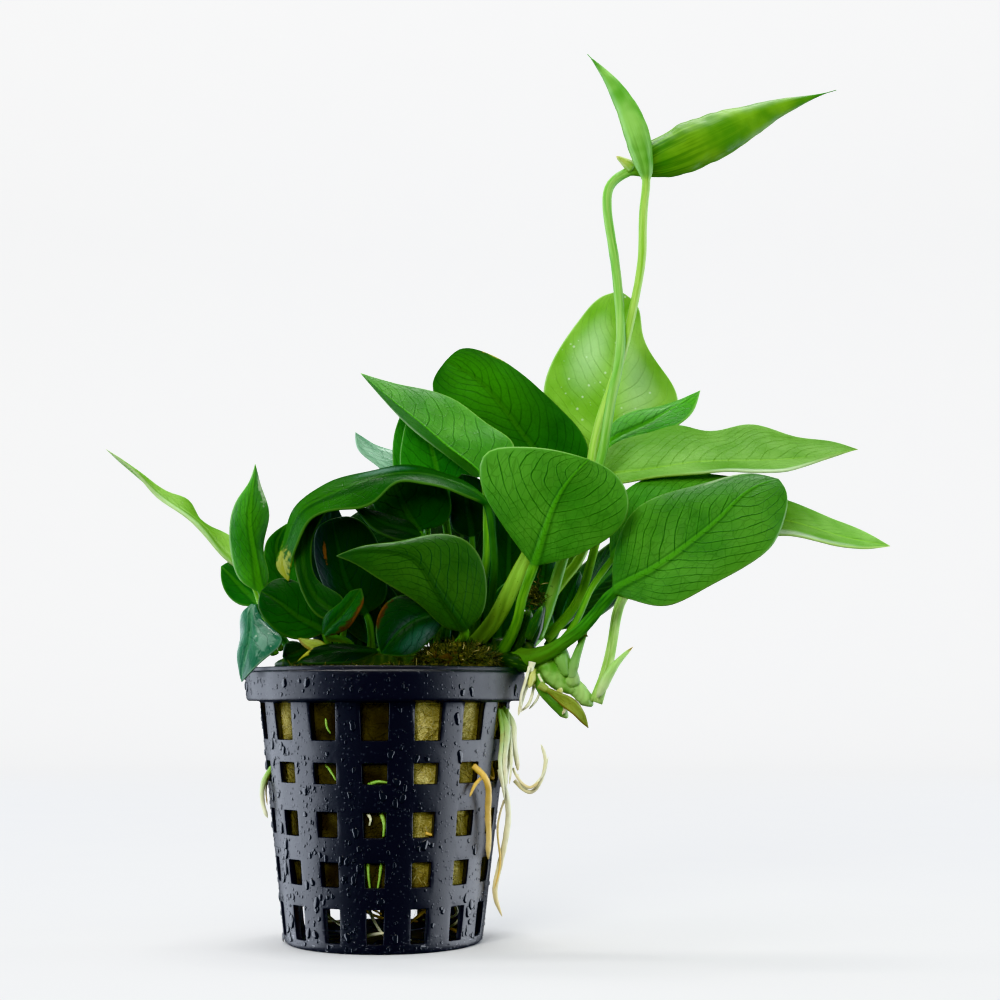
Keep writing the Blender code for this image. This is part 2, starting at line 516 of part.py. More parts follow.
def clear_of_stems(point, radius):
    """A stalk's or shoot's first point, moved to just clear of the skin of the nearest stem."""
    nearest = None
    for stations in STEMS.values():
        stem = Path(place([middle for middle, thickness in stations]))
        distances = np.linspace(0, stem.length, STEM_SAMPLES)
        centres = stem.at(distances)
        thickness = np.interp(distances, stem.knots, [thick * MM for middle, thick in stations])
        gaps = np.linalg.norm(centres - point, axis=1) - thickness
        best = np.argmin(gaps)
        if nearest is None or gaps[best] < nearest[0]:
            nearest = (gaps[best], centres[best], thickness[best])
    gap, centre, thickness = nearest
    return centre + unit(point - centre) * (thickness + (radius + STEM_GAP) * MM)


def rooted(points, radius):
    """Points in metres, the first one moved to just clear of the nearest stem."""
    moved = place(points)
    moved[0] = clear_of_stems(moved[0], radius)
    return moved


def square_to(way, along):
    """Unit directions nearest to `way` that are square to `along`."""
    return unit(way - along * np.sum(way * along, axis=-1, keepdims=True))


def fullness(form, share):
    """How wide a hood is at shares of its length, 1 at its widest: a power curve from each end."""
    rise, fall = form
    widest = rise / (rise + fall)
    peak = widest**rise * (1 - widest) ** fall
    s = np.clip(share, 0, 1)
    return s**rise * (1 - s) ** fall / peak


class Leaf:
    """A leaf's curves: one path up the stalk and midrib, and one along each margin of the blade."""

    def __init__(self, spec, on_stem):
        self.spec = spec
        stalk = rooted(spec["stalk"], spec["thick"]) if on_stem else place(spec["stalk"])
        midrib = place(spec["midrib"])
        left, right = place(spec["left"]), place(spec["right"])
        self.path = Path(np.vstack((stalk, midrib)))
        self.start = self.path.knots[len(stalk)]
        base_way = square_to(right[0] - left[0], unit(midrib[1] - midrib[0])) * spec["thick"] * MM
        tip_way = square_to(right[-1] - left[-1], unit(midrib[-1] - midrib[-2])) * TIP_HALF_WIDTH * MM
        self.base_way = unit(base_way)
        self.left = Path(np.vstack((midrib[:1] - base_way, left, midrib[-1:] - tip_way)))
        self.right = Path(np.vstack((midrib[:1] + base_way, right, midrib[-1:] + tip_way)))

    def blade(self, share, across):
        """Points of the blade's middle surface and its front-facing directions.

        Each half is spread from the midrib to its margin, so that a place across the blade from -1 to 1 is
        that share of the way. It bulges by "arch" half way out, and ripples by "ripple" towards the margin.
        """
        distance = self.start + (self.path.length - self.start) * share
        centre = self.path.at(distance)[:, None]
        left = self.left.at(self.left.length * share)[:, None]
        right = self.right.at(self.right.length * share)[:, None]
        amount = np.abs(across)[..., None]
        spread = centre + amount * (np.where(across[..., None] < 0, left, right) - centre)
        up = np.cross(unit(right[:, 0] - left[:, 0]), self.path.along(distance))
        height, number = self.spec["ripple"]
        swing = np.sin(2 * math.pi * number * share)[:, None, None] * np.sign(across)[..., None]
        lift = self.spec["arch"] * 4 * amount * (1 - amount) + height * swing * amount**2
        lift = lift * np.sin(math.pi * share)[:, None, None] * MM
        return spread + lift * unit(up)[:, None], unit(up)

    def rings(self):
        """Rings of eight points along the leaf: round on the stalk, and flat and wide on the blade."""
        angles = np.arange(RING_SIDES) * 2 * math.pi / RING_SIDES
        shares = np.array(STALK_STATIONS[: 1 + len(self.spec["stalk"])])
        distance = self.start * shares
        along = self.path.along(distance)
        right = square_to(np.tile(self.base_way, (len(shares), 1)), along)
        front = np.cross(right, along)
        spokes = np.cos(angles)[:, None] * right[:, None] + np.sin(angles)[:, None] * front[:, None]
        stalk = self.path.at(distance)[:, None] + self.spec["thick"] * MM * spokes
        share = np.array(BLADE_STATIONS)
        middle, up = self.blade(share, np.tile(np.cos(angles), (len(share), 1)))
        thin = BLADE_THICKNESS / 2
        depth = (thin + (self.spec["thick"] - thin) * (1 - share) ** BASE_FADE) * MM
        blade = middle + depth[:, None, None] * np.sin(angles)[:, None] * up[:, None]
        return np.concatenate((stalk, blade))


def flower_rings(spec):
    """Rings of eight points along a flower: its round stalk, then the wrapped hood as a flattened spindle."""
    stalk = rooted(spec["stalk"], spec["thick"])
    path = Path(np.vstack((stalk, place(spec["hood"]))))
    start = path.knots[len(stalk) - 1]
    angles = np.arange(RING_SIDES) * 2 * math.pi / RING_SIDES
    towards_hood = 1 - (1 - np.linspace(0, 1, FLOWER_STALK_RINGS + 1)[:-1]) ** STALK_CROWDING
    hood_share = np.array(HOOD_STATIONS)
    distance = np.concatenate((start * towards_hood, start + (path.length - start) * hood_share))
    share = np.concatenate((np.zeros(FLOWER_STALK_RINGS), hood_share))
    base, tip = np.array(spec["side"], float)
    along = path.along(distance)
    right = square_to(base + (tip - base) * share[:, None], along)
    swell = spec["half"] * MM * fullness(spec["form"], share)
    round_part = spec["thick"] * MM * (1 - share) ** 2
    width = np.maximum(np.hypot(swell, round_part), TIP_HALF_WIDTH * MM)
    depth = np.maximum(np.hypot(swell * spec["depth"], round_part), TIP_HALF_WIDTH * MM)
    spokes = (
        width[:, None, None] * np.cos(angles)[:, None] * right[:, None]
        + depth[:, None, None] * np.sin(angles)[:, None] * np.cross(right, along)[:, None]
    )
    return path.at(distance)[:, None] + spokes


def material(name, tone):
    red, green, blue, roughness = tone
    new = bpy.data.materials.new(name)
    new.use_nodes = True
    shader = new.node_tree.nodes["Principled BSDF"]
    shader.inputs["Base Color"].default_value = (red, green, blue, 1)
    shader.inputs["Roughness"].default_value = roughness
    shader.inputs["Metallic"].default_value = 0
    new.diffuse_color = (red, green, blue, 1)
    return new


def add_object(name, data, tone, collection):
    obj = bpy.data.objects.new(name, data)
    data.materials.append(material(name, tone))
    collection.objects.link(obj)
    return obj


def add_loft(name, rings, tone, collection):
    """A closed solid through rings of points, each ring's points in the same order, with flat end caps."""
    count, sides = rings.shape[:2]
    ring, side = np.meshgrid(np.arange(count - 1), np.arange(sides), indexing="ij")
    here = ring * sides + side
    beside = ring * sides + (side + 1) % sides
    faces = np.stack((here, here + sides, beside + sides, beside), axis=-1).reshape(-1, 4).tolist()
    faces.append(list(range(sides)))
    faces.append(list(range((count - 1) * sides, count * sides))[::-1])
    mesh = bpy.data.meshes.new(name)
    mesh.from_pydata(rings.reshape(-1, 3), [], faces)
    solid = bmesh.new()
    solid.from_mesh(mesh)
    bmesh.ops.recalc_face_normals(solid, faces=solid.faces)
    solid.to_mesh(mesh)
    solid.free()
    mesh.shade_smooth()
    return add_object(name, mesh, tone, collection)


def add_tube(name, points, radii, tone, collection, count, resolution=1):
    """A round piece with capped ends, through points in metres with a radius in millimetres at each."""
    path = Path(points)
    distance = np.linspace(0, path.length, count)
    curve = bpy.data.curves.new(name, "CURVE")
    curve.dimensions = "3D"
    curve.bevel_depth = 1.0
    curve.bevel_resolution = resolution
    curve.use_fill_caps = True
    spline = curve.splines.new("POLY")
    spline.points.add(count - 1)
    spline.points.foreach_set("co", np.column_stack((path.at(distance), np.ones(count))).ravel())
    spline.points.foreach_set("radius", np.interp(distance, path.knots, np.array(radii) * MM))
    return add_object(name, curve, tone, collection)


def add_turned(name, profile, steps, tone, collection):
    """A solid turned about Z from (radius, height) points that run down its outer side."""
    mesh = bpy.data.meshes.new(name)
    points = [(radius * MM, 0, height * MM) for radius, height in profile]
    mesh.from_pydata(points, [(i, i + 1) for i in range(len(points) - 1)], [])
    obj = add_object(name, mesh, tone, collection)
    screw = obj.modifiers.new("turn", "SCREW")
    screw.steps = steps
    screw.render_steps = steps
    screw.use_merge_vertices = True
    screw.merge_threshold = MERGE_DISTANCE
    screw.use_smooth_shade = True
    return obj


def wall_radius(height):
    return WALL_RADIUS_FOOT + (WALL_RADIUS_TOP - WALL_RADIUS_FOOT) * height / RIM_UNDERSIDE


def window_half_angle(height):
    """Half of a window's angle round the pot, which narrows towards the foot."""
    foot, top = WINDOW_HALF_ANGLES
    return foot + (top - foot) * height / RIM_UNDERSIDE


def pot_ring(radius, height, half_angle):
    """Two points for each window, at its left and right edges."""
    middle = (np.arange(POT_COLUMNS) * 2 * math.pi / POT_COLUMNS + POT_TURN)[:, None]
    angle = (middle + np.array((-half_angle, half_angle))).ravel()
    x = radius * np.sin(angle)
    y = -radius * np.cos(angle)
    return np.column_stack((x, y, np.full(len(angle), height))) * MM


def add_net_pot(collection):
    """The pot's outer skin as rings with its windows left out, given its wall by Solidify."""
    rings = [pot_ring(RIM_RADIUS, RIM_TOP, window_half_angle(RIM_UNDERSIDE))]
    rings.append(pot_ring(RIM_RADIUS, RIM_UNDERSIDE, window_half_angle(RIM_UNDERSIDE)))
    open_below = []
    for top, bottom in WINDOW_ROWS:
        open_below.append(len(rings))
        rings.append(pot_ring(wall_radius(top), top, window_half_angle(top)))
        rings.append(pot_ring(wall_radius(bottom), bottom, window_half_angle(bottom)))
    rings.append(pot_ring(FOOT_RADIUS, 0, window_half_angle(0)))
    open_below.append(len(rings))
    outer, inner = SLOT_RADII
    rings.append(pot_ring(outer, 0, window_half_angle(0)))
    rings.append(pot_ring(inner, 0, window_half_angle(0)))
    sides = 2 * POT_COLUMNS
    faces = []
    for band in range(len(rings) - 1):
        for side in range(sides):
            if band in open_below and side % 2 == 0:
                continue
            here = band * sides + side
            beside = band * sides + (side + 1) % sides
            faces.append([here, here + sides, beside + sides, beside])
    centre = len(rings) * sides
    last = centre - sides
    faces += [[last + side, centre, last + (side + 1) % sides] for side in range(sides)]
    mesh = bpy.data.meshes.new("net_pot")
    mesh.from_pydata(np.vstack(rings + [np.zeros((1, 3))]), [], faces)
    pot = add_object("net_pot", mesh, BLACK_PLASTIC, collection)
    wall = pot.modifiers.new("wall", "SOLIDIFY")
    wall.thickness = WALL_THICKNESS * MM
    wall.offset = -1
    wall.use_even_offset = True
    return pot


def add_wool_plug(collection):
    foot = wall_radius(PLUG_FOOT) - WALL_THICKNESS - PLUG_GAP
    top = wall_radius(RIM_UNDERSIDE) - WALL_THICKNESS - PLUG_GAP
    profile = (
        (0, PLUG_TOP),
        (top - PLUG_SHOULDER, PLUG_TOP),
        (top, RIM_UNDERSIDE),
        (foot, PLUG_FOOT),
        (0, PLUG_FOOT),
    )
    return add_turned("wool_plug", profile, PLUG_SIDES, WOOL, collection)


def add_moss(collection):
    """The mound of moss and old roots at the front of the plug's top, a squashed ball."""
    mesh = bpy.data.meshes.new("moss_mound")
    ball = bmesh.new()
    bmesh.ops.create_icosphere(ball, subdivisions=MOSS_SUBDIVISIONS, radius=MM)
    bmesh.ops.scale(ball, verts=ball.verts, vec=MOSS_HALF_SIZE)
    bmesh.ops.translate(ball, verts=ball.verts, vec=place([MOSS_CENTRE])[0])
    ball.to_mesh(mesh)
    ball.free()
    mesh.shade_smooth()
    return add_object("moss_mound", mesh, MOSS, collection)


def main():
    for obj in list(bpy.data.objects):
        bpy.data.objects.remove(obj)
    plant = bpy.data.collections.new("potted_dwarf_anubias")
    bpy.context.scene.collection.children.link(plant)
    add_net_pot(plant)
    add_wool_plug(plant)
    add_moss(plant)
    for name, stations in STEMS.items():
        points, radii = zip(*stations)
        add_tube(name, place(points), radii, STEM_GREEN, plant, STEM_RINGS[name], resolution=2)
    for name, spec in LEAVES.items():
        add_loft(name, Leaf(spec, on_stem=True).rings(), spec["tone"], plant)
    for name, spec in BRACTS.items():
        add_loft(name, Leaf(spec, on_stem=False).rings(), spec["tone"], plant)
    for name, spec in FLOWERS.items():
        add_loft(name, flower_rings(spec), spec["tone"], plant)
    for name, stations in SHOOTS.items():
        points, radii = zip(*stations)
        add_tube(name, rooted(points, radii[0]), radii, STEM_GREEN, plant, SHOOT_RINGS)
    for name, stations in ROOTS.items():
        points, radii = zip(*stations)
        add_tube(name, place(points), radii, ROOT_OCHRE, plant, ROOT_RINGS)


main()
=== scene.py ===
# %% [markdown]
# # A dwarf anubias in its net pot
#
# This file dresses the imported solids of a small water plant: broad green leaves and two shut flowers on a
# creeping stem, which sits on a plug of mineral wool in a black net pot. Every piece is worked out with numpy
# as a surface, in the same metres and the same frame as the solids: +Z is up, the front faces -Y, and the
# origin is the centre of the pot's underside.

# %% Load the solids
import math

import bpy
import numpy as np
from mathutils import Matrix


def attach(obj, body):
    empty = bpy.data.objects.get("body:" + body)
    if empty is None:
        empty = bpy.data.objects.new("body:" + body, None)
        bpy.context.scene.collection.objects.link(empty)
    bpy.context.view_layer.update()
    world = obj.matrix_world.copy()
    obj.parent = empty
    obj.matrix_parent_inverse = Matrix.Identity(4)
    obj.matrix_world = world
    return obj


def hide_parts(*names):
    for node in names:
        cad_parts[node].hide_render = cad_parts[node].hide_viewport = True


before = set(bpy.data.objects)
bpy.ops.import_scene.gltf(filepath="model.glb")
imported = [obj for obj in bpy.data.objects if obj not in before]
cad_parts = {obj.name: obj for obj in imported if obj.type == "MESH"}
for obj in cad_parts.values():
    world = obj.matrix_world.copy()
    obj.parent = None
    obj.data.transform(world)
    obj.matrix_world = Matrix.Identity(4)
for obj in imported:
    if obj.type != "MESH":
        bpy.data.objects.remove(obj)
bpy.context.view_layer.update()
print("solids:", len(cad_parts))

# %% [markdown]
# ## Curves
#
# Stalks, midribs, leaf margins and roots are all smooth curves through a few measured points. A natural cubic
# spline does that with no overshoot, and it can be asked for all its points at once. The points are written
# as they show from the front, on the plane of the pot's axis, with a depth. `place` slides each along the
# eye's line of sight to its depth, so a depth can be corrected with no change of outline.

# %% Points and curves
MM = 0.001
EYE = np.array((22.6, 0.0, 46.5))
EYE_DISTANCE = 340.0


def place(points):
    """Metres for (across, depth, height) in millimetres: eye + (point - eye) * (1 + depth / distance)."""
    seen = np.array(points, float).reshape(-1, 3)
    real = EYE + (seen - EYE) * (1 + seen[:, 1:2] / EYE_DISTANCE)
    real[:, 1] = seen[:, 1]
    return real * MM


def read_points(text):
    """Lists of numbers from text, with commas between the points and spaces between a point's numbers."""
    return [[float(number) for number in point.split()] for point in text.split(",")]


def stations(text):
    """Placed points and radii in metres, from text whose points are across, depth, height and radius."""
    numbers = np.array(read_points(text))
    return place(numbers[:, :3]), numbers[:, 3] * MM


def triple(*parts):
    """Three arrays, stretched to one shape, as the last axis of one array."""
    return np.stack(np.broadcast_arrays(*parts), axis=-1)


def turned(angle, radius, height):
    """Points round the pot's axis, counted from the front: (radius sin, -radius cos, height)."""
    return triple(radius * np.sin(angle), -radius * np.cos(angle), height)


def full_turn(sides):
    """Evenly spaced angles round a circle."""
    return np.arange(sides) * 2 * math.pi / sides


def unit(vectors):
    """Vectors scaled to length 1."""
    return vectors / np.maximum(np.linalg.norm(vectors, axis=-1, keepdims=True), 1e-12)


def square_to(way, along):
    """The part of `way` at right angles to `along`, scaled to length 1."""
    return unit(way - along * np.sum(way * along, axis=-1, keepdims=True))


def smooth(value, low, high):
    """0 below low, 1 above high, and 3t^2 - 2t^3 between them."""
    t = np.clip((value - low) / (high - low), 0, 1)
    return t * t * (3 - 2 * t)


class Path:
    """A natural cubic spline through points, measured by the length of its chords."""

    def __init__(self, points):
        self.points = np.array(points, float)
        chords = np.linalg.norm(np.diff(self.points, axis=0), axis=1)
        self.knots = np.concatenate(([0.0], np.cumsum(chords)))
        self.length = self.knots[-1]
        count = len(self.points)
        system = np.eye(count)
        bends = np.zeros((count, 3))
        if count > 2:
            inner = np.arange(1, count - 1)
            before, after = chords[:-1], chords[1:]
            system[inner, inner - 1] = before
            system[inner, inner] = 2 * (before + after)
            system[inner, inner + 1] = after
            slopes = np.diff(self.points, axis=0) / chords[:, None]
            bends[1:-1] = 6 * np.diff(slopes, axis=0)
        self.bends = np.linalg.solve(system, bends)

    def at(self, distance):
        """Points at distances along the chords: each span is a cubic that keeps the bend of its two ends."""
        d = np.clip(np.array(distance, float), 0, self.length)
        i = np.clip(np.searchsorted(self.knots, d, side="right") - 1, 0, len(self.knots) - 2)
        step = (self.knots[i + 1] - self.knots[i])[:, None]
        b = (d - self.knots[i])[:, None] / step
        a = 1 - b
        curve = a * self.points[i] + b * self.points[i + 1]
        return curve + ((a**3 - a) * self.bends[i] + (b**3 - b) * self.bends[i + 1]) * step**2 / 6

    def along(self, distance):
        """Directions of the curve at distances along the chords."""
        d = np.array(distance, float)
        nudge = self.length * 0.002
        return unit(self.at(d + nudge) - self.at(d - nudge))


# %% [markdown]
# ## Natural irregularity
#
# Nothing on a plant repeats exactly. Two sources of irregularity are enough: a seeded random generator for
# where small things lie, and a smooth value noise, a lattice of random numbers blended between its corners,
# for surfaces that swell and dip.

# %% Seeded noise
def chance(seed):
    """A random generator that gives the same numbers on each run."""
    return np.random.default_rng(seed)


LATTICE_SIZE = 32
LATTICE = chance(7).random((LATTICE_SIZE,) * 3)


def swell(points, size):
    """Smooth noise from -1 to 1, with bumps about `size` metres wide, blended from the lattice's corners."""
    p = np.asarray(points) / size
    cell = np.floor(p).astype(int)
    t = p - cell
    t = t * t * (3 - 2 * t)
    total = 0
    for corner in range(8):
        step = np.array((corner & 1, corner >> 1 & 1, corner >> 2 & 1))
        weight = np.prod(np.where(step == 1, t, 1 - t), axis=-1)
        i = (cell + step) % LATTICE_SIZE
        total = total + weight * LATTICE[i[..., 0], i[..., 1], i[..., 2]]
    return 2 * total - 1


# %% [markdown]
# ## From arrays to meshes
#
# A mesh is filled straight from arrays. Every shell is closed, so its volume tells whether its faces point
# outwards: where the sum over its faces comes out negative, the corners are taken in the other order.

# %% Mesh making
made = {}
THREAD_ROWS, THREAD_SIDES = 4, 3


def volume(points, triangles):
    """Six times the volume inside a closed shell: the sum of each face's triple product."""
    a, b, c = points[triangles[:, 0]], points[triangles[:, 1]], points[triangles[:, 2]]
    return np.sum(a * np.cross(b, c))


def new_mesh(name, points, quads, triangles, values=None):
    """An object from arrays: points (n, 3), quads (m, 4), triangles (k, 3), and named values per point."""
    points = np.asarray(points, float).reshape(-1, 3)
    quads = np.asarray(quads, int).reshape(-1, 4)
    triangles = np.asarray(triangles, int).reshape(-1, 3)
    as_triangles = np.vstack((quads[:, (0, 1, 2)], quads[:, (0, 2, 3)], triangles))
    if volume(points - points.mean(axis=0), as_triangles) < 0:
        quads, triangles = quads[:, ::-1], triangles[:, ::-1]
    corners = np.concatenate((quads.ravel(), triangles.ravel()))
    starts = np.concatenate((np.arange(len(quads)) * 4, len(quads) * 4 + np.arange(len(triangles)) * 3))
    mesh = bpy.data.meshes.new(name)
    mesh.vertices.add(len(points))
    mesh.vertices.foreach_set("co", points.astype(np.float32).ravel())
    mesh.loops.add(len(corners))
    mesh.loops.foreach_set("vertex_index", corners.astype(np.int32))
    mesh.polygons.add(len(starts))
    mesh.polygons.foreach_set("loop_start", starts.astype(np.int32))
    mesh.update(calc_edges=True)
    mesh.validate()
    mesh.shade_smooth()
    for key, value in (values or {}).items():
        layer = mesh.attributes.new(key, "FLOAT_VECTOR", "POINT")
        layer.data.foreach_set("vector", np.asarray(value, np.float32).ravel())
    piece = bpy.data.objects.new(name, mesh)
    bpy.context.scene.collection.objects.link(piece)
    made[name] = len(as_triangles)
    return piece


def ring_faces(rows, sides):
    """Quads between neighbouring rings of a tube, as indices into rings laid end to end."""
    row, side = np.meshgrid(np.arange(rows - 1), np.arange(sides), indexing="ij")
    here = row * sides + side
    beside = row * sides + (side + 1) % sides
    return np.stack((here, here + sides, beside + sides, beside), axis=-1).reshape(-1, 4)


def lofts(name, rings, values=None):
    """Closed tubes as one piece: rings (tubes, rows, sides, 3), with a fan to a middle point at every end."""
    tubes, rows, sides = rings.shape[:3]

    def with_ends(grid):
        """Each tube's points, followed by the means of its first and last ring."""
        ends = np.stack((grid[:, 0].mean(axis=1), grid[:, -1].mean(axis=1)), axis=1)
        return np.concatenate((grid.reshape(tubes, -1, 3), ends), axis=1)

    points = with_ends(rings)
    side = np.arange(sides)
    beside = (side + 1) % sides
    top = (rows - 1) * sides
    low = triple(rows * sides, side, beside)
    high = triple(rows * sides + 1, top + beside, top + side)
    shift = (np.arange(tubes) * points.shape[1])[:, None, None]
    filled = {key: with_ends(np.asarray(value, float)) for key, value in (values or {}).items()}
    return new_mesh(name, points, ring_faces(rows, sides) + shift, np.vstack((low, high)) + shift, filled)


def loft(name, rings, values=None):
    """One closed tube over rings (rows, sides, 3)."""
    return lofts(name, rings[None], {key: value[None] for key, value in (values or {}).items()})


def tube_rings(points, radii, count, sides):
    """Rings round a curve, centre + radius (cos angle right + sin angle up), and how far along each is."""
    path = Path(points)
    distance = np.linspace(0, path.length, count)
    centre, along = path.at(distance), path.along(distance)
    middle = path.points - path.points.mean(axis=0)
    flat = np.linalg.svd(middle)[2][-1] if len(path.points) > 2 else np.array((0.3, 0.9, 0.2))
    right = square_to(np.tile(flat, (count, 1)), along)
    up = np.cross(right, along)
    angle = full_turn(sides)
    radius = np.interp(distance, path.knots, radii)[:, None, None]
    spokes = np.cos(angle)[:, None] * right[:, None] + np.sin(angle)[:, None] * up[:, None]
    return centre[:, None] + radius * spokes, distance


def threads(name, starts, ways, bends, lengths, radii, seed):
    """Many thin curved threads as one piece: start + (way t + bend t^2) length, each with its own tint."""
    count, sides = THREAD_ROWS, THREAD_SIDES
    t = np.linspace(0, 1, count)
    reach = (ways[:, None] * t[:, None] + bends[:, None] * t[:, None] ** 2) * lengths[:, None, None]
    path = starts[:, None] + reach
    along = unit(ways[:, None] + 2 * bends[:, None] * t[:, None])
    side = square_to(np.broadcast_to(np.array((0.31, 0.52, 0.79)), along.shape), along)
    other = np.cross(along, side)
    angle = full_turn(sides)
    taper = (1 - 0.6 * t)[None, :, None, None] * radii[:, None, None, None]
    spoke = np.cos(angle)[:, None] * side[:, :, None] + np.sin(angle)[:, None] * other[:, :, None]
    points = path[:, :, None] + taper * spoke
    quads = ring_faces(count, sides)
    caps = np.array([(0, j, j + 1) for j in range(1, sides - 1)])
    caps = np.vstack((caps, (caps + (count - 1) * sides)[:, ::-1]))
    shift = (np.arange(len(starts)) * count * sides)[:, None, None]
    tint = np.repeat(chance(seed).random(len(starts)), count * sides)
    return new_mesh(name, points, quads + shift, caps + shift, {"tint": triple(tint, tint, tint)})


print("helpers ready")

# %% [markdown]
# ## Finishes
#
# Each finish is a small tree of shader nodes on one Principled surface. A few helpers make such a tree read
# like a formula: `plus`, `times`, `mix` and `between` return sockets, and a number can stand for a socket.

# %% Shader helpers
class Finish:
    """A material under construction: methods add nodes and return their output sockets."""

    def __init__(self, name, roughness=0.4, coat=0.0, specular=0.5):
        self.material = bpy.data.materials.new(name)
        self.material.use_nodes = True
        self.tree = self.material.node_tree
        self.surface = self.tree.nodes["Principled BSDF"]
        self.surface.inputs["Roughness"].default_value = roughness
        self.surface.inputs["Coat Weight"].default_value = coat
        self.surface.inputs["Coat Roughness"].default_value = 0.22
        self.surface.inputs["Specular IOR Level"].default_value = specular

    def add(self, kind, settings=None, **sockets):
        """A node of a kind, with its settings and the sockets given by name (an underscore is a space)."""
        node = self.tree.nodes.new(kind)
        for key, value in (settings or {}).items():
            setattr(node, key, value)
        for key, value in sockets.items():
            self.feed(node.inputs[key.replace("_", " ")], value)
        return node

    def feed(self, socket, value):
        """A socket's link where the value is a socket, or else its own number or colour."""
        if isinstance(value, bpy.types.NodeSocket):
            self.tree.links.new(value, socket)
        elif isinstance(value, tuple) and len(value) == 3 and socket.type == "RGBA":
            socket.default_value = (*value, 1)
        else:
            socket.default_value = value

    def set(self, **sockets):
        """Feeds sockets of the surface itself, such as Base_Color."""
        for key, value in sockets.items():
            self.feed(self.surface.inputs[key.replace("_", " ")], value)

    def calc(self, operation, *values):
        """A Math node: POWER, ABSOLUTE and so on."""
        node = self.add("ShaderNodeMath", {"operation": operation})
        for socket, value in zip(node.inputs, values):
            self.feed(socket, value)
        return node.outputs[0]

    def plus(self, first, *others):
        """The sum of two or more values."""
        for value in others:
            first = self.calc("ADD", first, value)
        return first

    def times(self, first, *others):
        """The product of two or more values."""
        for value in others:
            first = self.calc("MULTIPLY", first, value)
        return first

    def minus(self, first, second):
        """The difference of two values."""
        return self.calc("SUBTRACT", first, second)

    def between(self, value, low, high, start=0.0, end=1.0):
        """A smooth step from start to end as the value goes from low to high."""
        node = self.add("ShaderNodeMapRange", {"interpolation_type": "SMOOTHSTEP"})
        for socket, given in zip(node.inputs, (value, low, high, start, end)):
            self.feed(socket, given)
        return node.outputs[0]

    def mix(self, share, first, second):
        """The first colour at share 0, the second at share 1."""
        node = self.add("ShaderNodeMix", {"data_type": "RGBA"})
        self.feed(node.inputs[0], share)
        self.feed(node.inputs[6], first)
        self.feed(node.inputs[7], second)
        return node.outputs[2]

    def at_object(self):
        """Places on the piece in metres."""
        if not hasattr(self, "_object"):
            self._object = self.add("ShaderNodeTexCoord").outputs["Object"]
        return self._object

    def stretched(self, vector, scale):
        """A vector with each of its three numbers multiplied by its own scale."""
        return self.add("ShaderNodeMapping", Vector=vector, Scale=scale).outputs[0]

    def noise(self, scale, detail=2.0, vector=None, stretch=None, roughness=0.5):
        """Noise from 0 to 1, with `scale` bumps to a metre unless another vector is given."""
        vector = vector or self.at_object()
        if stretch:
            vector = self.stretched(vector, stretch)
        node = self.add("ShaderNodeTexNoise", Vector=vector, Scale=scale, Detail=detail, Roughness=roughness)
        return node.outputs[0]

    def cells(self, scale, vector=None, feature="DISTANCE_TO_EDGE"):
        """Distance to the nearest cell wall, or with feature F1 to the nearest cell's heart."""
        vector = vector or self.at_object()
        node = self.add("ShaderNodeTexVoronoi", {"feature": feature}, Vector=vector, Scale=scale)
        return node.outputs[0]

    def values(self, name):
        """The three numbers of a point attribute."""
        attribute = self.add("ShaderNodeAttribute", {"attribute_name": name})
        split = self.add("ShaderNodeSeparateXYZ", Vector=attribute.outputs["Vector"])
        return attribute.outputs["Vector"], split.outputs[0], split.outputs[1], split.outputs[2]

    def relief(self, height, distance, strength=1.0):
        """Turns a height from 0 to 1 into a bump of `distance` metres."""
        bump = self.add("ShaderNodeBump", Height=height, Distance=distance, Strength=strength)
        self.set(Normal=bump.outputs[0])


def trim(piece, finish):
    """Gives a piece its finish and lets it ride on the plant's one body."""
    piece.data.materials.append(finish.material)
    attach(piece, "root")


def dress(piece, finish, node):
    """Trims a piece that also stands for a solid."""
    trim(piece, finish)
    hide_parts(node)


print("shader helpers ready")

# %% [markdown]
# ## Camera, floor and light
#
# The picture was taken from a little under the pot's rim, 34 cm away, looking slightly up. The pot shows two
# broad bluish reflections left and right of a dark middle, so the light is two large soft boxes close by at
# the sides, with small ones overhead and in front that only lift the leaves. A fifth box lights the paper
# alone. The paper is flat under the pot and bends up all round it in a quarter circle: reach = bend + radius
# sin t, rise = radius (1 - cos t). It is kept out of the reflections and the bounced light.

# %% Camera and studio
FOCAL_PIXELS = 1710
PICTURE_PIXELS = 1000
SENSOR_WIDTH = 36.0
CAMERA_TILT = 6.67
PLANT_MIDDLE, POT_MIDDLE, WALL_PLACE = (0.02, 0, 0.08), (0, 0.02, 0.03), (0, 1.25, 0.35)
# Name: place, size, watts, colour and the place it is turned to
SOFT_BOXES = {
    "left_box": ((-0.60, 0.11, 0.03), (1.00, 0.80), 7.5, (0.80, 0.87, 1.0), POT_MIDDLE),
    "right_box": ((0.62, 0.10, 0.03), (1.00, 0.80), 7.5, (0.84, 0.90, 1.0), POT_MIDDLE),
    "top_box": ((0.06, -0.20, 0.75), (0.50, 0.40), 2.2, (1.0, 1.0, 0.98), PLANT_MIDDLE),
    "front_box": ((-0.28, -0.95, 0.42), (0.45, 0.45), 10.0, (1.0, 1.0, 0.98), PLANT_MIDDLE),
    "paper_box": ((0.0, 0.45, 1.60), (1.2, 0.5), 26.0, (1.0, 1.0, 1.0), WALL_PLACE),
}
SKY_COLOUR, SKY_STRENGTH = (0.93, 0.95, 1.0, 1), 0.05
PAPER_BEND, PAPER_RADIUS, PAPER_TOP = 0.85, 0.5, 2.2
PAPER_SIDES, PAPER_GLOW, GLOW_START = 96, 0.5, 0.25


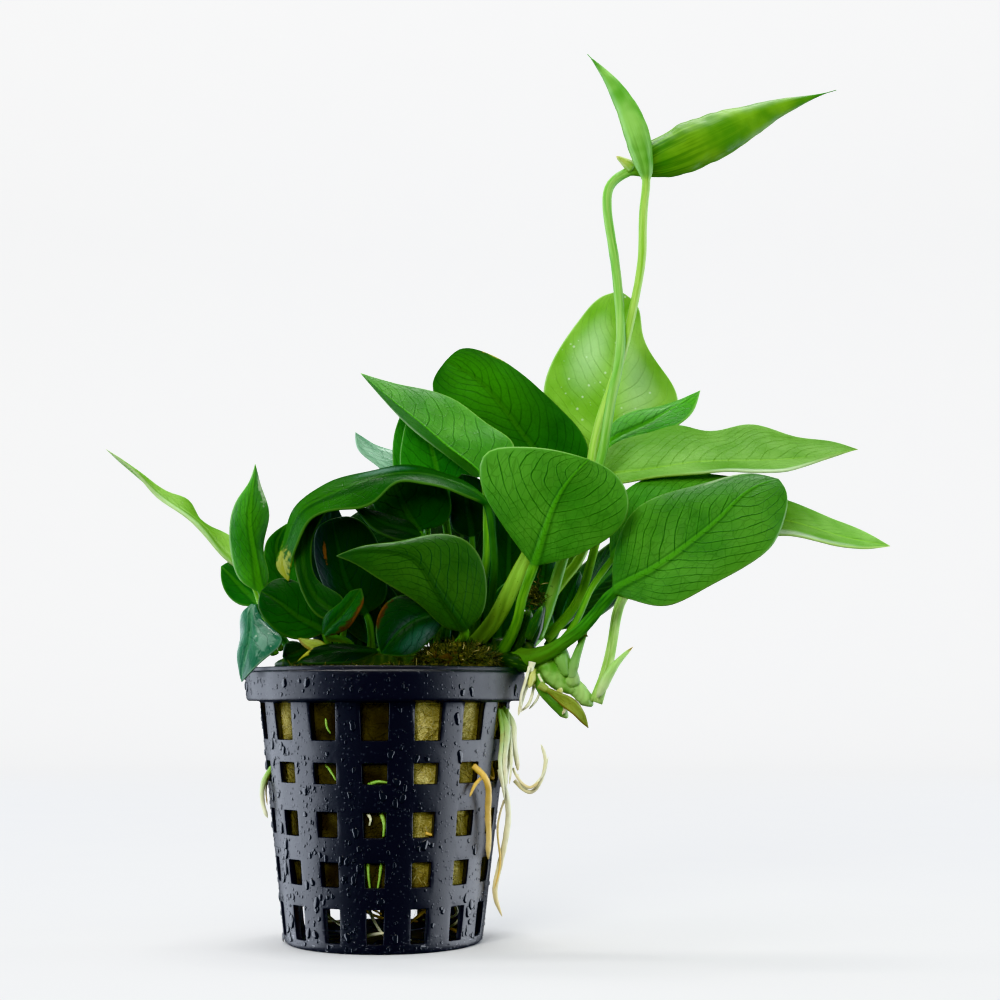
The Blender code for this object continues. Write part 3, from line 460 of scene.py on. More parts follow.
def soft_box(name, at, size, power, colour, target):
    """A rectangular lamp turned to a target: pitch from its downward part, heading from the other two."""
    light = bpy.data.lights.new(name, "AREA")
    light.shape = "RECTANGLE"
    light.size, light.size_y = size
    light.energy = power
    light.color = colour
    lamp = bpy.data.objects.new(name, light)
    lamp.location = at
    way = unit(np.array(target) - np.array(at))
    pitch = math.acos(-way[2])
    lamp.rotation_euler = (pitch, 0, math.atan2(way[1], way[0]) - math.pi / 2)
    lamp.visible_glossy = name != "front_box"
    bpy.context.scene.collection.objects.link(lamp)


lens = bpy.data.cameras.new("camera")
lens.lens = FOCAL_PIXELS / PICTURE_PIXELS * SENSOR_WIDTH
lens.sensor_width = SENSOR_WIDTH
lens.clip_start = 0.01
camera = bpy.data.objects.new("camera", lens)
camera.location = (EYE[0] * MM, -EYE_DISTANCE * MM, EYE[2] * MM)
camera.rotation_euler = (math.radians(90 + CAMERA_TILT), 0, 0)
bpy.context.scene.collection.objects.link(camera)
bpy.context.scene.camera = camera

for name, setting in SOFT_BOXES.items():
    soft_box(name, *setting)
world = bpy.data.worlds.new("studio")
bpy.context.scene.world = world
world.use_nodes = True
sky = world.node_tree.nodes["Background"].inputs
sky["Color"].default_value = SKY_COLOUR
sky["Strength"].default_value = SKY_STRENGTH
bpy.context.scene.view_settings.view_transform = "Khronos PBR Neutral"


def paper_sheet(name, reach, rise):
    """A sheet turned round the plant, with a fan inside its first ring."""
    rings = turned(full_turn(PAPER_SIDES), reach[:, None], rise[:, None])
    side = np.arange(PAPER_SIDES)
    fan = triple(len(reach) * PAPER_SIDES, side, (side + 1) % PAPER_SIDES)
    points = np.vstack((rings.reshape(-1, 3), (0, 0, 0)))
    sheet = new_mesh(name, points, ring_faces(len(reach), PAPER_SIDES), fan)
    if sheet.data.polygons[0].normal.z < 0:
        sheet.data.flip_normals()
    return sheet


def paper_finish():
    """White paper that glows faintly, its emission rising from nothing under the plant to full strength at the
    wall.
    """
    paper = Finish("pale_paper", roughness=0.8, specular=0.1)
    length = paper.add("ShaderNodeVectorMath", {"operation": "LENGTH"}, Vector=paper.at_object())
    tone = paper.mix(paper.noise(40.0), (0.80, 0.80, 0.80), (0.83, 0.83, 0.825))
    painted_light = paper.between(length.outputs["Value"], GLOW_START, PAPER_BEND + PAPER_RADIUS, 0.0, PAPER_GLOW)
    paper.set(Base_Color=tone, Emission_Color=tone, Emission_Strength=painted_light)
    return paper


bend = np.linspace(0, math.pi / 2, 25)
flat = np.linspace(0.1, PAPER_BEND, 8)[:-1]
floor = paper_sheet(
    "floor",
    np.concatenate((flat, PAPER_BEND + PAPER_RADIUS * np.sin(bend), (PAPER_BEND + PAPER_RADIUS,))),
    np.concatenate((flat * 0, PAPER_RADIUS * (1 - np.cos(bend)), (PAPER_TOP,))),
)
floor.data.materials.append(paper_finish().material)
floor.visible_diffuse = False
floor.visible_glossy = False
floor.visible_shadow = False
print("studio ready")

# %% [markdown]
# ## The net pot
#
# The pot is one thin moulding of black polypropylene: a stepped rim, a tapering wall with five rows of
# fifteen windows, and a slotted base. A turned profile gives two skins, outer and inner, as grids of angle by
# height. The grid's columns close in on the windows as the wall tapers. Cells that lie in a window are left
# out of both skins, and a side wall joins the skins along each edge of the hole. A small bevel then breaks
# the sharp edges, as a mould does.

# %% Pot sizes
WINDOWS_ROUND = 15
WINDOW_PERIOD = 2 * math.pi / WINDOWS_ROUND
POT_TURN = math.radians(-1)
WINDOW_ROWS = ((46.0, 39.1), (34.9, 31.1), (25.9, 21.3), (16.7, 12.2), (8.2, 1.9))
WALL_TOP, WALL_FOOT, WALL_HEIGHT = 24.6, 19.2, 46.3
WALL_THICKNESS = 1.25
BASE_THICKNESS = 1.2
EDGE_WIDTH, SHARP_ANGLE = 0.16, math.radians(55)
HALF_WINDOW_FOOT, HALF_WINDOW_TOP = math.radians(4.5), math.radians(6.4)
CELLS_ACROSS = 6
RIM_OUTER = (
    (26.45, 52.8), (26.75, 52.75), (26.9, 52.6), (26.9, 52.15), (26.97, 51.98), (27.3, 51.9), (27.5, 51.7),
    (27.5, 51.2), (27.42, 49.5), (27.3, 47.6), (27.24, 46.9), (27.05, 46.45), (26.7, 46.3), (25.2, 46.3),
    (24.75, 46.22),
)
RIM_INNER = (
    (26.1, 52.8), (25.85, 52.75), (25.7, 52.6), (25.7, 52.15), (25.7, 51.9), (25.75, 51.5), (25.8, 51.0),
    (25.8, 50.5), (25.8, 49.5), (25.7, 48.2), (25.6, 47.9), (25.4, 47.7), (25.1, 47.6), (24.1, 47.5),
    (23.5, 47.1),
)
WALL_HEIGHTS = (
    46.0, 43.7, 41.4, 39.1, 37.0, 34.9, 33.0, 31.1, 28.5, 25.9, 23.6, 21.3, 19.0, 16.7, 14.4, 12.2, 10.2,
    8.2, 6.1, 4.0, 1.9,
)
FOOT_OUTER = ((19.25, 1.1), (19.05, 0.45), (18.75, 0.12), (18.4, 0.0), (15.5, 0.0), (8.0, 0.0))
FOOT_INNER = ((18.0, 1.6), (17.8, 1.4), (17.5, 1.25), (17.1, 1.2), (15.5, 1.2), (8.0, 1.2))
SLOT_BAND = len(RIM_OUTER) + len(WALL_HEIGHTS) + 4


def wall_radius(height):
    """The outer wall's radius, a straight line from foot to rim."""
    return WALL_FOOT + (WALL_TOP - WALL_FOOT) * height / WALL_HEIGHT


def half_window(height):
    """Half of a window's angle, which narrows in step with the wall."""
    share = np.clip(height / WALL_HEIGHT, 0, 1)
    return HALF_WINDOW_FOOT + (HALF_WINDOW_TOP - HALF_WINDOW_FOOT) * share


# %% Pot surface
def pot_skin(profile):
    """A turned surface over (radius, height) pairs, its angles bunched to the edges of the windows."""
    radius, height = np.array(profile).T[..., None]
    half = half_window(height)
    share = np.arange(CELLS_ACROSS) / CELLS_ACROSS
    one = np.concatenate((-half + 2 * half * share, half + (WINDOW_PERIOD - 2 * half) * share), axis=1)
    angle = (np.arange(WINDOWS_ROUND)[:, None] * WINDOW_PERIOD + POT_TURN)[None] + one[:, None]
    return turned(angle.reshape(len(radius), -1), radius, height) * MM


wall_outer = tuple((wall_radius(h), h) for h in WALL_HEIGHTS)
wall_inner = tuple((wall_radius(h) - WALL_THICKNESS, h) for h in WALL_HEIGHTS)
outer = pot_skin(RIM_OUTER + wall_outer + FOOT_OUTER)
inner = pot_skin(RIM_INNER + wall_inner + FOOT_INNER)
bands, sides = len(outer) - 1, outer.shape[1]
is_window_column = (np.arange(sides) % (2 * CELLS_ACROSS)) < CELLS_ACROSS
middle_height = (outer[:-1, 0, 2] + outer[1:, 0, 2]) / 2 / MM
is_open_row = np.array([any(low < h < high for high, low in WINDOW_ROWS) for h in middle_height])
is_open_row[SLOT_BAND] = True
hole = is_open_row[:, None] & is_window_column[None]
print("pot grid:", outer.shape[:2], "open cells:", int(hole.sum()))

# %% Pot faces
total = outer.shape[0] * sides
band, side = np.meshgrid(np.arange(bands), np.arange(sides), indexing="ij")
beside = (side + 1) % sides
corner = {
    "upper_left": band * sides + side,
    "upper_right": band * sides + beside,
    "lower_left": (band + 1) * sides + side,
    "lower_right": (band + 1) * sides + beside,
}
order = ("upper_left", "lower_left", "lower_right", "upper_right")
outer_quads = np.stack([corner[key] for key in order], axis=-1)
keep = ~hole
faces = [outer_quads[keep], outer_quads[keep][:, ::-1] + total]


def side_walls(solid_next, first, second):
    """Quads from the outer to the inner skin along an edge between an open cell and a solid one."""
    at_edge = hole & solid_next
    a, b = corner[first][at_edge], corner[second][at_edge]
    return np.stack((a, b, b + total, a + total), axis=-1)


solid_above = np.vstack((np.ones((1, sides), bool), keep[:-1]))
solid_below = np.vstack((keep[1:], np.ones((1, sides), bool)))
faces.append(side_walls(solid_above, "upper_right", "upper_left"))
faces.append(side_walls(solid_below, "lower_left", "lower_right"))
faces.append(side_walls(np.roll(keep, 1, axis=1), "upper_left", "lower_left"))
faces.append(side_walls(np.roll(keep, -1, axis=1), "lower_right", "upper_right"))
ring = np.arange(sides)
ring_next = (ring + 1) % sides
faces.append(np.stack((ring, ring_next, ring_next + total, ring + total), axis=-1))
last = bands * sides
underside, inside = 2 * total, 2 * total + 1
fans = np.vstack((
    triple(last + ring, underside, last + ring_next),
    triple(total + last + ring_next, inside, total + last + ring),
))
points = np.vstack((outer.reshape(-1, 3), inner.reshape(-1, 3), [(0, 0, 0), (0, 0, BASE_THICKNESS * MM)]))
pot = new_mesh("net_pot_moulding", points, np.vstack(faces), fans)
edges = pot.modifiers.new("mould_edges", "BEVEL")
edges.width = EDGE_WIDTH * MM
edges.segments = 2
edges.limit_method = "ANGLE"
edges.angle_limit = SHARP_ANGLE
print("pot quads:", sum(len(f) for f in faces))

# %% [markdown]
# ### Black plastic, still wet
#
# Polypropylene is satin rather than glossy. Where water has run there is a thin film, which is smoother, so
# the roughness changes in soft upright streaks. Finely pitted grain breaks up the reflections, and pale dots
# in the pits are painted glints of fine water specks. The lower edges of the lowest windows are scuffed pale
# from being stood on.

# %% Finish of the pot
wet_black = Finish("wet_black_plastic", roughness=0.40, specular=1.0)
film = wet_black.noise(110.0, 3.0, stretch=(1.0, 1.0, 0.35))
grain = wet_black.noise(2600.0, 2.0)
glint_specks = wet_black.cells(1100.0, feature="F1")
pits_and_glints = wet_black.between(glint_specks, 0.10, 0.26, 1.0, 0.0)
high_up = wet_black.add("ShaderNodeSeparateXYZ", Vector=wet_black.at_object()).outputs["Z"]
near_foot = wet_black.between(high_up, 0.0042, 0.0016)
scratches = wet_black.between(wet_black.noise(900.0, 3.0, stretch=(1.0, 1.0, 3.0)), 0.60, 0.72)
scuffed = wet_black.times(near_foot, scratches)
tone = wet_black.mix(film, (0.005, 0.005, 0.007), (0.010, 0.010, 0.015))
# Pale dots in the pits: painted glints of fine water specks.
tone = wet_black.mix(wet_black.times(pits_and_glints, 0.25), tone, (0.10, 0.11, 0.13))
tone = wet_black.mix(scuffed, tone, (0.32, 0.33, 0.36))
rough = wet_black.between(film, 0.35, 0.65, 0.44, 0.32)
rough = wet_black.plus(rough, wet_black.times(grain, 0.08))
height = wet_black.plus(wet_black.times(grain, 0.35), pits_and_glints)
wet_black.relief(height, 0.00008, 0.55)
wet_black.set(Base_Color=tone, Roughness=rough)
dress(pot, wet_black, "net_pot")

# %% [markdown]
# ### Water drops
#
# The pot was sprayed just before the picture. Drops on a wall are flattened domes, the larger ones pulled
# down a little. Clear water shows the black behind it, so a drop is dark, with bright marks where its dome
# faces the lights. Each is a small dome of rings, r = sin, height = cos, laid on the wall's own tangents. All
# are made at once by broadcasting one template over random places, and those over a window are left out.

# %% Drops on wall and rim
# How many are tried, smallest and largest radius, sides and rings of the dome
DROP_KINDS = ((330, 0.34, 0.78, 14, 4), (1100, 0.15, 0.34, 8, 3), (1300, 0.07, 0.15, 6, 2))
RIM_FACE, RIM_STEP = (47.4, 51.2), 46.0
RIM_HEIGHTS, RIM_RADII = (46.9, 47.6, 49.5, 51.2), (27.24, 27.3, 27.42, 27.5)
DROP_LOW, DROP_HIGH, DROPS_BELOW = 0.8, 51.4, 45.6
DROP_HEIGHT, DROP_SINK, DROP_SEED = 0.42, 0.15, 40


def drop_template(around, rings):
    """A dome: radius sin(t), height cos(t) for t from 0 to a right angle, closed by a flat foot."""
    t = np.linspace(0, math.pi / 2, rings + 1)[1:, None]
    angle = full_turn(around)
    dome = triple(np.sin(t) * np.cos(angle), np.sin(t) * np.sin(angle), np.cos(t))
    flat = dome[-1:] * (0.92, 0.92, 0) - (0, 0, DROP_SINK)
    points = np.vstack((np.concatenate((dome, flat)).reshape(-1, 3), [(0, 0, 1), (0, 0, -DROP_SINK)]))
    side = np.arange(around)
    beside = (side + 1) % around
    top = triple((rings + 1) * around, side, beside)
    foot = triple((rings + 1) * around + 1, rings * around + beside, rings * around + side)
    return points, ring_faces(rings + 1, around), np.vstack((top, foot))


def over_window(angle, height, margin):
    """Whether a place on the wall lies in a window or within a margin of it."""
    from_middle = np.abs((angle - POT_TURN + WINDOW_PERIOD / 2) % WINDOW_PERIOD - WINDOW_PERIOD / 2)
    in_column = from_middle < half_window(height) + margin / wall_radius(height)
    in_row = np.zeros(len(height), bool)
    for high, low in WINDOW_ROWS:
        in_row |= (height < high + margin) & (height > low - margin)
    return in_column & in_row


def drops(kind, seed):
    """Domes of one kind: places, tangents and sizes drawn at random, and the template broadcast over them."""
    count, small, large, around, rings = kind
    draw = chance(seed)
    angle = draw.uniform(-math.pi, math.pi, count * 2)
    height = draw.uniform(DROP_LOW, DROP_HIGH, count * 2)
    crowd = 0.45 + 0.55 * smooth(np.cos(angle + 0.75), 0.2, 0.95)
    on_wall = (height < DROPS_BELOW) | ((height > RIM_FACE[0]) & (height < RIM_FACE[1]))
    size = small + (large - small) * draw.random(count * 2) ** 1.6
    chosen = on_wall & ~over_window(angle, height, size.max()) & (draw.random(count * 2) < crowd)
    angle, height, size = angle[chosen], height[chosen], size[chosen]
    radius = np.where(height > RIM_STEP, np.interp(height, RIM_HEIGHTS, RIM_RADII), wall_radius(height))
    out = turned(angle, 1.0, 0.0)
    round_way = triple(np.cos(angle), np.sin(angle), 0.0)
    up = np.array((0.0, 0.0, 1.0))
    centre = out * radius[:, None] + up * height[:, None]
    shape, quads, triangles = drop_template(around, rings)
    longer = (1 + 0.5 * draw.random(len(angle)) ** 2)[:, None, None]
    across, along, off = shape.T[:, None]
    tail = np.where(along < 0, 1.0 - 0.35 * along, 1.0)[..., None]
    way = np.arctan2(along, across)
    lean = draw.uniform(0, 2 * math.pi, (2, len(angle), 1))
    outline = 1 + 0.16 * np.cos(2 * way + lean[0]) + 0.10 * np.cos(3 * way + lean[1])
    wide = size[:, None, None] * outline[..., None]
    grown = (
        centre[:, None]
        + across[..., None] * wide * round_way[:, None]
        + along[..., None] * wide * longer * tail * up
        + off[..., None] * size[:, None, None] * DROP_HEIGHT * out[:, None]
    )
    shift = (np.arange(len(angle)) * len(shape))[:, None, None]
    return grown.reshape(-1, 3) * MM, (quads + shift).reshape(-1, 4), (triangles + shift).reshape(-1, 3)


points, quads, triangles = zip(*(drops(kind, DROP_SEED + i) for i, kind in enumerate(DROP_KINDS)))
starts = np.cumsum([0] + [len(dome) for dome in points[:-1]])
water_drops = new_mesh(
    "water_drops",
    np.vstack(points),
    np.vstack([quad + start for quad, start in zip(quads, starts)]),
    np.vstack([triangle + start for triangle, start in zip(triangles, starts)]),
)
water = Finish("water_on_black", roughness=0.10, specular=1.0)
water.set(Base_Color=water.mix(water.noise(400.0), (0.006, 0.007, 0.009), (0.014, 0.015, 0.019)))
trim(water_drops, water)
print("drops:", made["water_drops"], "triangles")

# %% [markdown]
# ## Mineral wool, roots and moss
#
# The plug is a cone of mineral wool. Its skin is a turned surface pushed in and out by noise, and thousands of
# fine threads lie on it where the windows show it. A thread is a start, a way along the surface and a bend, so
# all of them are one array.

# %% Wool plug
PLUG_FOOT, PLUG_TOP, SIDE_TOP = 9.0, 50.0, 46.5
PLUG_INSET = 1.6
PLUG_ROWS, PLUG_SIDES = 96, 220
PLUG_MIDDLE = np.array((0, 0, 0.030))


def plug_radius(height):
    """The plug's radius, a little inside the pot's outer wall."""
    return wall_radius(np.minimum(height, WALL_HEIGHT)) - PLUG_INSET


def wool_point(angle, height, out):
    """A place on the plug's side in millimetres, `out` further from the axis."""
    return turned(angle, plug_radius(height) + out, height)


PLUG_PROFILE = np.array((
    (0.6, 49.7), (4, 49.8), (8, 49.9), (12, 49.9), (16, 49.8), (19, 49.7), (21, 49.5), (22.2, 48.9), (22.8, 47.8),
))
side_heights = np.linspace(46.4, PLUG_FOOT + 0.2, PLUG_ROWS)
profile = np.vstack((
    PLUG_PROFILE,
    np.stack((plug_radius(side_heights), side_heights), axis=-1),
    ((16.8, PLUG_FOOT), (12, PLUG_FOOT), (6, PLUG_FOOT), (0.6, PLUG_FOOT)),
))
rings = turned(full_turn(PLUG_SIDES), profile[:, :1], profile[:, 1:]) * MM
direction = unit(rings - PLUG_MIDDLE)
push = 0.28 * swell(rings, 0.0035) + 0.22 * swell(rings + 0.05, 0.0012)
wool = loft("wool_surface", rings + direction * push[..., None] * MM)

# The wool is darker down the middle of the front, and brighter at both sides of it
DARK_MIDDLE, DARK_EDGES = 0.0055, (0.0135, 0.0098)


def darken_front_middle(finish, tone):
    """Darkens a tone near the middle across, at the front, in patches."""
    across, depth, height = finish.add("ShaderNodeSeparateXYZ", Vector=finish.at_object()).outputs
    darkened = finish.between(finish.calc("ABSOLUTE", finish.plus(across, DARK_MIDDLE)), *DARK_EDGES)
    in_front, below_top = finish.between(depth, 0.004, -0.004), finish.between(height, 0.0475, 0.0455)
    patches = finish.between(finish.noise(150.0, 2.0), 0.36, 0.60, 0.93, 1.0)
    darkened = finish.times(darkened, in_front, below_top, patches)
    return finish.mix(darkened, tone, (0.012, 0.008, 0.003))


mineral_wool = Finish("wet_mineral_wool", roughness=0.85, specular=0.3)
lump = mineral_wool.noise(230.0, 4.0)
thread = mineral_wool.noise(2300.0, 4.0, stretch=(1.0, 1.0, 1.8), roughness=0.75)
stain = mineral_wool.noise(75.0, 2.0)
tone = mineral_wool.mix(mineral_wool.between(thread, 0.36, 0.66), (0.42, 0.33, 0.07), (1.0, 0.92, 0.38))
tone = mineral_wool.mix(mineral_wool.between(lump, 0.35, 0.62, 0.0, 0.5), tone, (0.34, 0.28, 0.07))
tone = mineral_wool.mix(mineral_wool.between(stain, 0.50, 0.70, 0.0, 0.75), tone, (0.085, 0.045, 0.010))
tone = darken_front_middle(mineral_wool, tone)
mineral_wool.relief(thread, 0.0004, 1.0)
mineral_wool.set(Base_Color=tone)
dress(wool, mineral_wool, "wool_plug")


# %% Wool threads
WOOL_THREADS, SIDE_SHARE = 5200, 0.8


def wool_threads(count, seed):
    """Threads over the plug's side and top: tangent ways, small outward offsets and bends back to the skin."""
    draw = chance(seed)
    side = int(count * SIDE_SHARE)
    angle = draw.uniform(-math.pi, math.pi, side)
    height = draw.uniform(PLUG_FOOT + 0.5, SIDE_TOP, side)
    start = wool_point(angle, height, 0.1 + 0.25 * draw.random(side))
    round_way = triple(np.cos(angle), np.sin(angle), 0.0)
    turn = draw.uniform(0, 2 * math.pi, side)[:, None]
    way = np.cos(turn) * round_way + np.sin(turn) * np.array((0, 0, 1))
    outward = turned(angle, 1.0, 0.0)
    bend = 0.35 * draw.normal(size=(side, 3))
    bend = bend - outward * (np.sum(bend * outward, axis=-1, keepdims=True) + 0.25 * draw.random((side, 1)))
    rest = count - side
    radius, turn = 21.5 * np.sqrt(draw.random(rest)), draw.uniform(0, 2 * math.pi, rest)
    top = triple(radius * np.cos(turn), radius * np.sin(turn), PLUG_TOP + 0.4 * draw.random(rest))
    top_way = unit(draw.normal(size=(rest, 3)) * (1, 1, 0.25))
    top_bend = 0.3 * draw.normal(size=(rest, 3))
    length = draw.uniform(1.2, 4.2, count) * MM
    thick = draw.uniform(0.035, 0.075, count) * MM
    return np.vstack((start, top)) * MM, np.vstack((way, top_way)), np.vstack((bend, top_bend)), length, thick


def thread_finish(name, roughness, first, *steps):
    """Threads of many tones: the first, then for each step (low, high, tone) its tone for the tints above."""
    finish = Finish(name, roughness=roughness)
    shade = finish.values("tint")[1]
    tone = first
    for low, high, colour in steps:
        tone = finish.mix(finish.between(shade, low, high), tone, colour)
    return finish, tone


wool_strands = threads("wool_threads", *wool_threads(WOOL_THREADS, 11), seed=12)
wool_thread, tone = thread_finish(
    "wool_thread", 0.7, (0.11, 0.07, 0.018),
    (0.15, 0.75, (0.60, 0.54, 0.24)), (0.86, 0.99, (0.80, 0.74, 0.42)),
)
wool_thread.set(Base_Color=darken_front_middle(wool_thread, tone))
trim(wool_strands, wool_thread)
print("wool:", made["wool_surface"], "threads:", made["wool_threads"])

# %% [markdown]
# ### Roots inside the windows
#
# Young roots have found the windows: green tips, short white stubs, and below the plug a tangle of pale roots
# over the wet base. Each is a tapering tube along a curve through a few points, given as angle round the pot
# in degrees, height, and how far it stands out from the plug.

# %% Roots in the windows
WINDOW_ROOTS = (
    ("-4.5 30.9 0.2, 0.5 31.6 0.9, 5 31.4 0.8", 0.36, "green"),
    ("-27 34.6 -0.2, -23.5 33.4 0.4, -20.5 31.8 0.7", 0.28, "green"),
    ("-25.5 43 -0.2, -23.8 41.2 0.6, -22.5 40.4 0.5", 0.24, "green"),
    ("1.6 26 -0.3, 3.4 24.2 0.7, 3.2 21.6 0.9", 0.45, "green"),
    ("-4.6 25.6 0.2, -3.2 24.8 0.8, -3.9 23.6 0.5", 0.36, "white"),
    ("-5.2 16.9 -0.2, -4.6 14.4 0.5, -3.8 12 0.6", 0.34, "green"),
    ("2.3 16.9 -0.2, 1.5 14.4 0.5, 0.4 12 0.6", 0.36, "green"),
    ("26 22 0.1, 29 21.7 0.7, 32 22 0.5", 0.32, "ochre"),
    ("-46 22.4 0.2, -44.2 21.7 0.6, -42.4 22.4 0.4", 0.34, "green"),
    ("70 32.8 -0.3, 73.5 31.4 0.8, 77 33.5 0.2", 0.4, "ochre"),
    ("120 44 -0.3, 123 41.5 0.8, 121 39.5 0.6", 0.34, "green"),
    ("168 24.8 -0.3, 171 23 0.8, 176 21.8 0.4", 0.38, "white"),
    ("-140 33.5 -0.2, -143 32.2 0.7, -147 31.4 0.3", 0.36, "ochre"),
)
FOOT_ROOTS = (
    ("-13.5 -11.5 9.4, -13 -12.6 5.6, -12.2 -12.4 2.4", 0.42, "ochre"),
    ("-14 -4 8.8, -8 -8 4.2, -3 -12.6 2.8", 0.34, "white"),
    ("2 -8 9, 5.4 -13.2 6.2, 2.8 -14.4 3.4", 0.34, "white"),
    ("10.5 -12.8 8.8, 6.8 -13.8 6, 4.9 -14.2 4.4", 0.36, "ochre"),
    ("15.6 -8.2 9, 14.8 -9.4 5.2, 11 -12 3.6", 0.4, "white"),
    ("11.5 -10.6 4.6, 14.2 -9.6 3.2, 16.4 -6 2", 0.34, "ochre"),
    ("-4 -13.6 2.2, 1.5 -14 3.3, 6 -12.4 1.8", 0.38, "white"),
    ("-2.6 -11 8.8, -0.9 -12.6 5.2, 1.4 -12.6 2", 0.42, "white"),
    ("-9 6 8.8, -2 10 3.4, 6 12 2.2", 0.4, "ochre"),
    ("12 4 8.8, 14 8 4.4, 7 13 2.4", 0.36, "white"),
    ("-14.5 2 9, -14.8 6 4, -9 12 2.4", 0.36, "white"),
    ("-9.5 12.5 9.2, -6.5 15 5.8, -8.5 14.6 2.2", 0.6, "ochre"),
    ("-4 14.5 9.2, -5.5 16.2 6.4, -1.5 16.4 3", 0.5, "ochre"),
    ("1.5 15 9.2, -0.5 16.6 6, 3.5 16.6 2.2", 0.6, "ochre"),
    ("7.5 14 9.2, 6 15.8 6.6, 8.5 14.8 2.6", 0.55, "ochre"),
    ("11 12 9.2, 12.5 12.5 5, 10 13.8 2.2", 0.45, "white"),
)
ROOT_TONES = {"green": 0.0, "white": 0.5, "ochre": 1.0}
SMALL_ROOT_ROWS, SMALL_ROOT_SIDES = 22, 8


def small_root(points, thick, tone):
    """A root that tapers to its tip, with its kind of tone and its share along kept at each point."""
    radii = np.linspace(1.0, 0.45, len(points)) * thick * MM
    rings, distance = tube_rings(points * MM, radii, SMALL_ROOT_ROWS, SMALL_ROOT_SIDES)
    share = (distance / distance[-1])[:, None]
    return rings, triple(ROOT_TONES[tone], share, share + 0 * rings[..., 0])


def on_wool(text):
    """Points on the plug, from text whose points are degrees round it, height and distance out."""
    turn, height, out = np.array(read_points(text)).T
    return wool_point(np.radians(turn), height, out)


small_roots = [small_root(on_wool(text), *rest) for text, *rest in WINDOW_ROOTS]
small_roots += [small_root(np.array(read_points(text)), *rest) for text, *rest in FOOT_ROOTS]


def root_finish(name):
    """Pale root: green, white or ochre by its first value, browner along its length, finely furred."""
    root = Finish(name, roughness=0.45, coat=0.15)
    vector, kind, share, spare = root.values("root")
    patch = root.noise(500.0, 3.0)
    green = root.mix(patch, (0.16, 0.42, 0.05), (0.42, 0.62, 0.16))
    white = root.mix(patch, (0.72, 0.74, 0.42), (0.84, 0.84, 0.66))
    ochre = root.mix(patch, (0.62, 0.38, 0.05), (0.80, 0.58, 0.16))
    tone = root.mix(root.between(kind, 0.05, 0.45), green, white)
    tone = root.mix(root.between(kind, 0.55, 0.95), tone, ochre)
    worn = root.between(root.noise(260.0, 3.0), 0.55, 0.75, 0.0, 0.45)
    tone = root.mix(worn, tone, (0.42, 0.26, 0.07))
    root.relief(root.noise(1800.0, 2.0), 0.00012, 0.5)
    root.set(Base_Color=tone)
    return root


young_root = root_finish("young_root")
root_rings, root_values = map(np.array, zip(*small_roots))
window_roots = lofts("window_roots", root_rings, {"root": root_values})
trim(window_roots, young_root)
print("roots in the windows and under the plug:", len(small_roots))

# %% [markdown]
# ### Moss, old wool and crumbs
#
# In front, where the stem meets the rim, moss has grown over scraps of wool and dead roots. A lumpy mound,
# a ball whose radius varies with noise, carries thousands of short curled threads in olive, yellow and brown.
# A low line of the same threads lies along the rim, and a few tufts stand on the wool's top behind the stem.

# %% Moss mound
MOSS_CENTRE = place([(14.0, -12.0, 54.1)])[0]
MOSS_HALF = np.array((7.5, 5.5, 3.4)) * MM
lat = np.linspace(0.04, math.pi - 0.04, 60)[:, None]
lon = full_turn(110)
ball = triple(np.sin(lat) * np.cos(lon), np.sin(lat) * np.sin(lon), np.cos(lat))
lumps = 1 + 0.10 * swell(ball + 3, 0.55) + 0.09 * swell(ball + 9, 0.22) + 0.05 * swell(ball + 5, 0.09) - 0.03
mound = loft("moss_surface", MOSS_CENTRE + ball * MOSS_HALF * lumps[..., None])
moss = Finish("moss_and_old_wool", roughness=0.9, specular=0.25)
grain = moss.noise(1500.0, 4.0, roughness=0.7)
patches = moss.noise(320.0, 3.0)
tone = moss.mix(grain, (0.008, 0.007, 0.003), (0.085, 0.10, 0.025))
tone = moss.mix(moss.between(patches, 0.52, 0.66), tone, (0.20, 0.18, 0.04))
tone = moss.mix(moss.between(patches, 0.44, 0.34, 0.0, 0.8), tone, (0.055, 0.028, 0.008))
moss.relief(grain, 0.0006, 1.0)
moss.set(Base_Color=tone)
dress(mound, moss, "moss_mound")


# %% Moss threads and crumbs
# A crumbly brown clump of the same threads hangs between the leaf stalks
CLUMP, CLUMP_SPREAD, CLUMP_THREADS = place([(29.6, -6.4, 67.2)])[0] / MM, (0.8, 0.7, 1.2), 260
MOSS_THREADS, MOUND_SHARE, TUFT_SHARE = 4600, 0.62, 0.45
# Behind the stem the wool's top carries a few low tufts
TUFTS, TUFT_SPREAD = 9, (2.4, 1.5, 0.3)


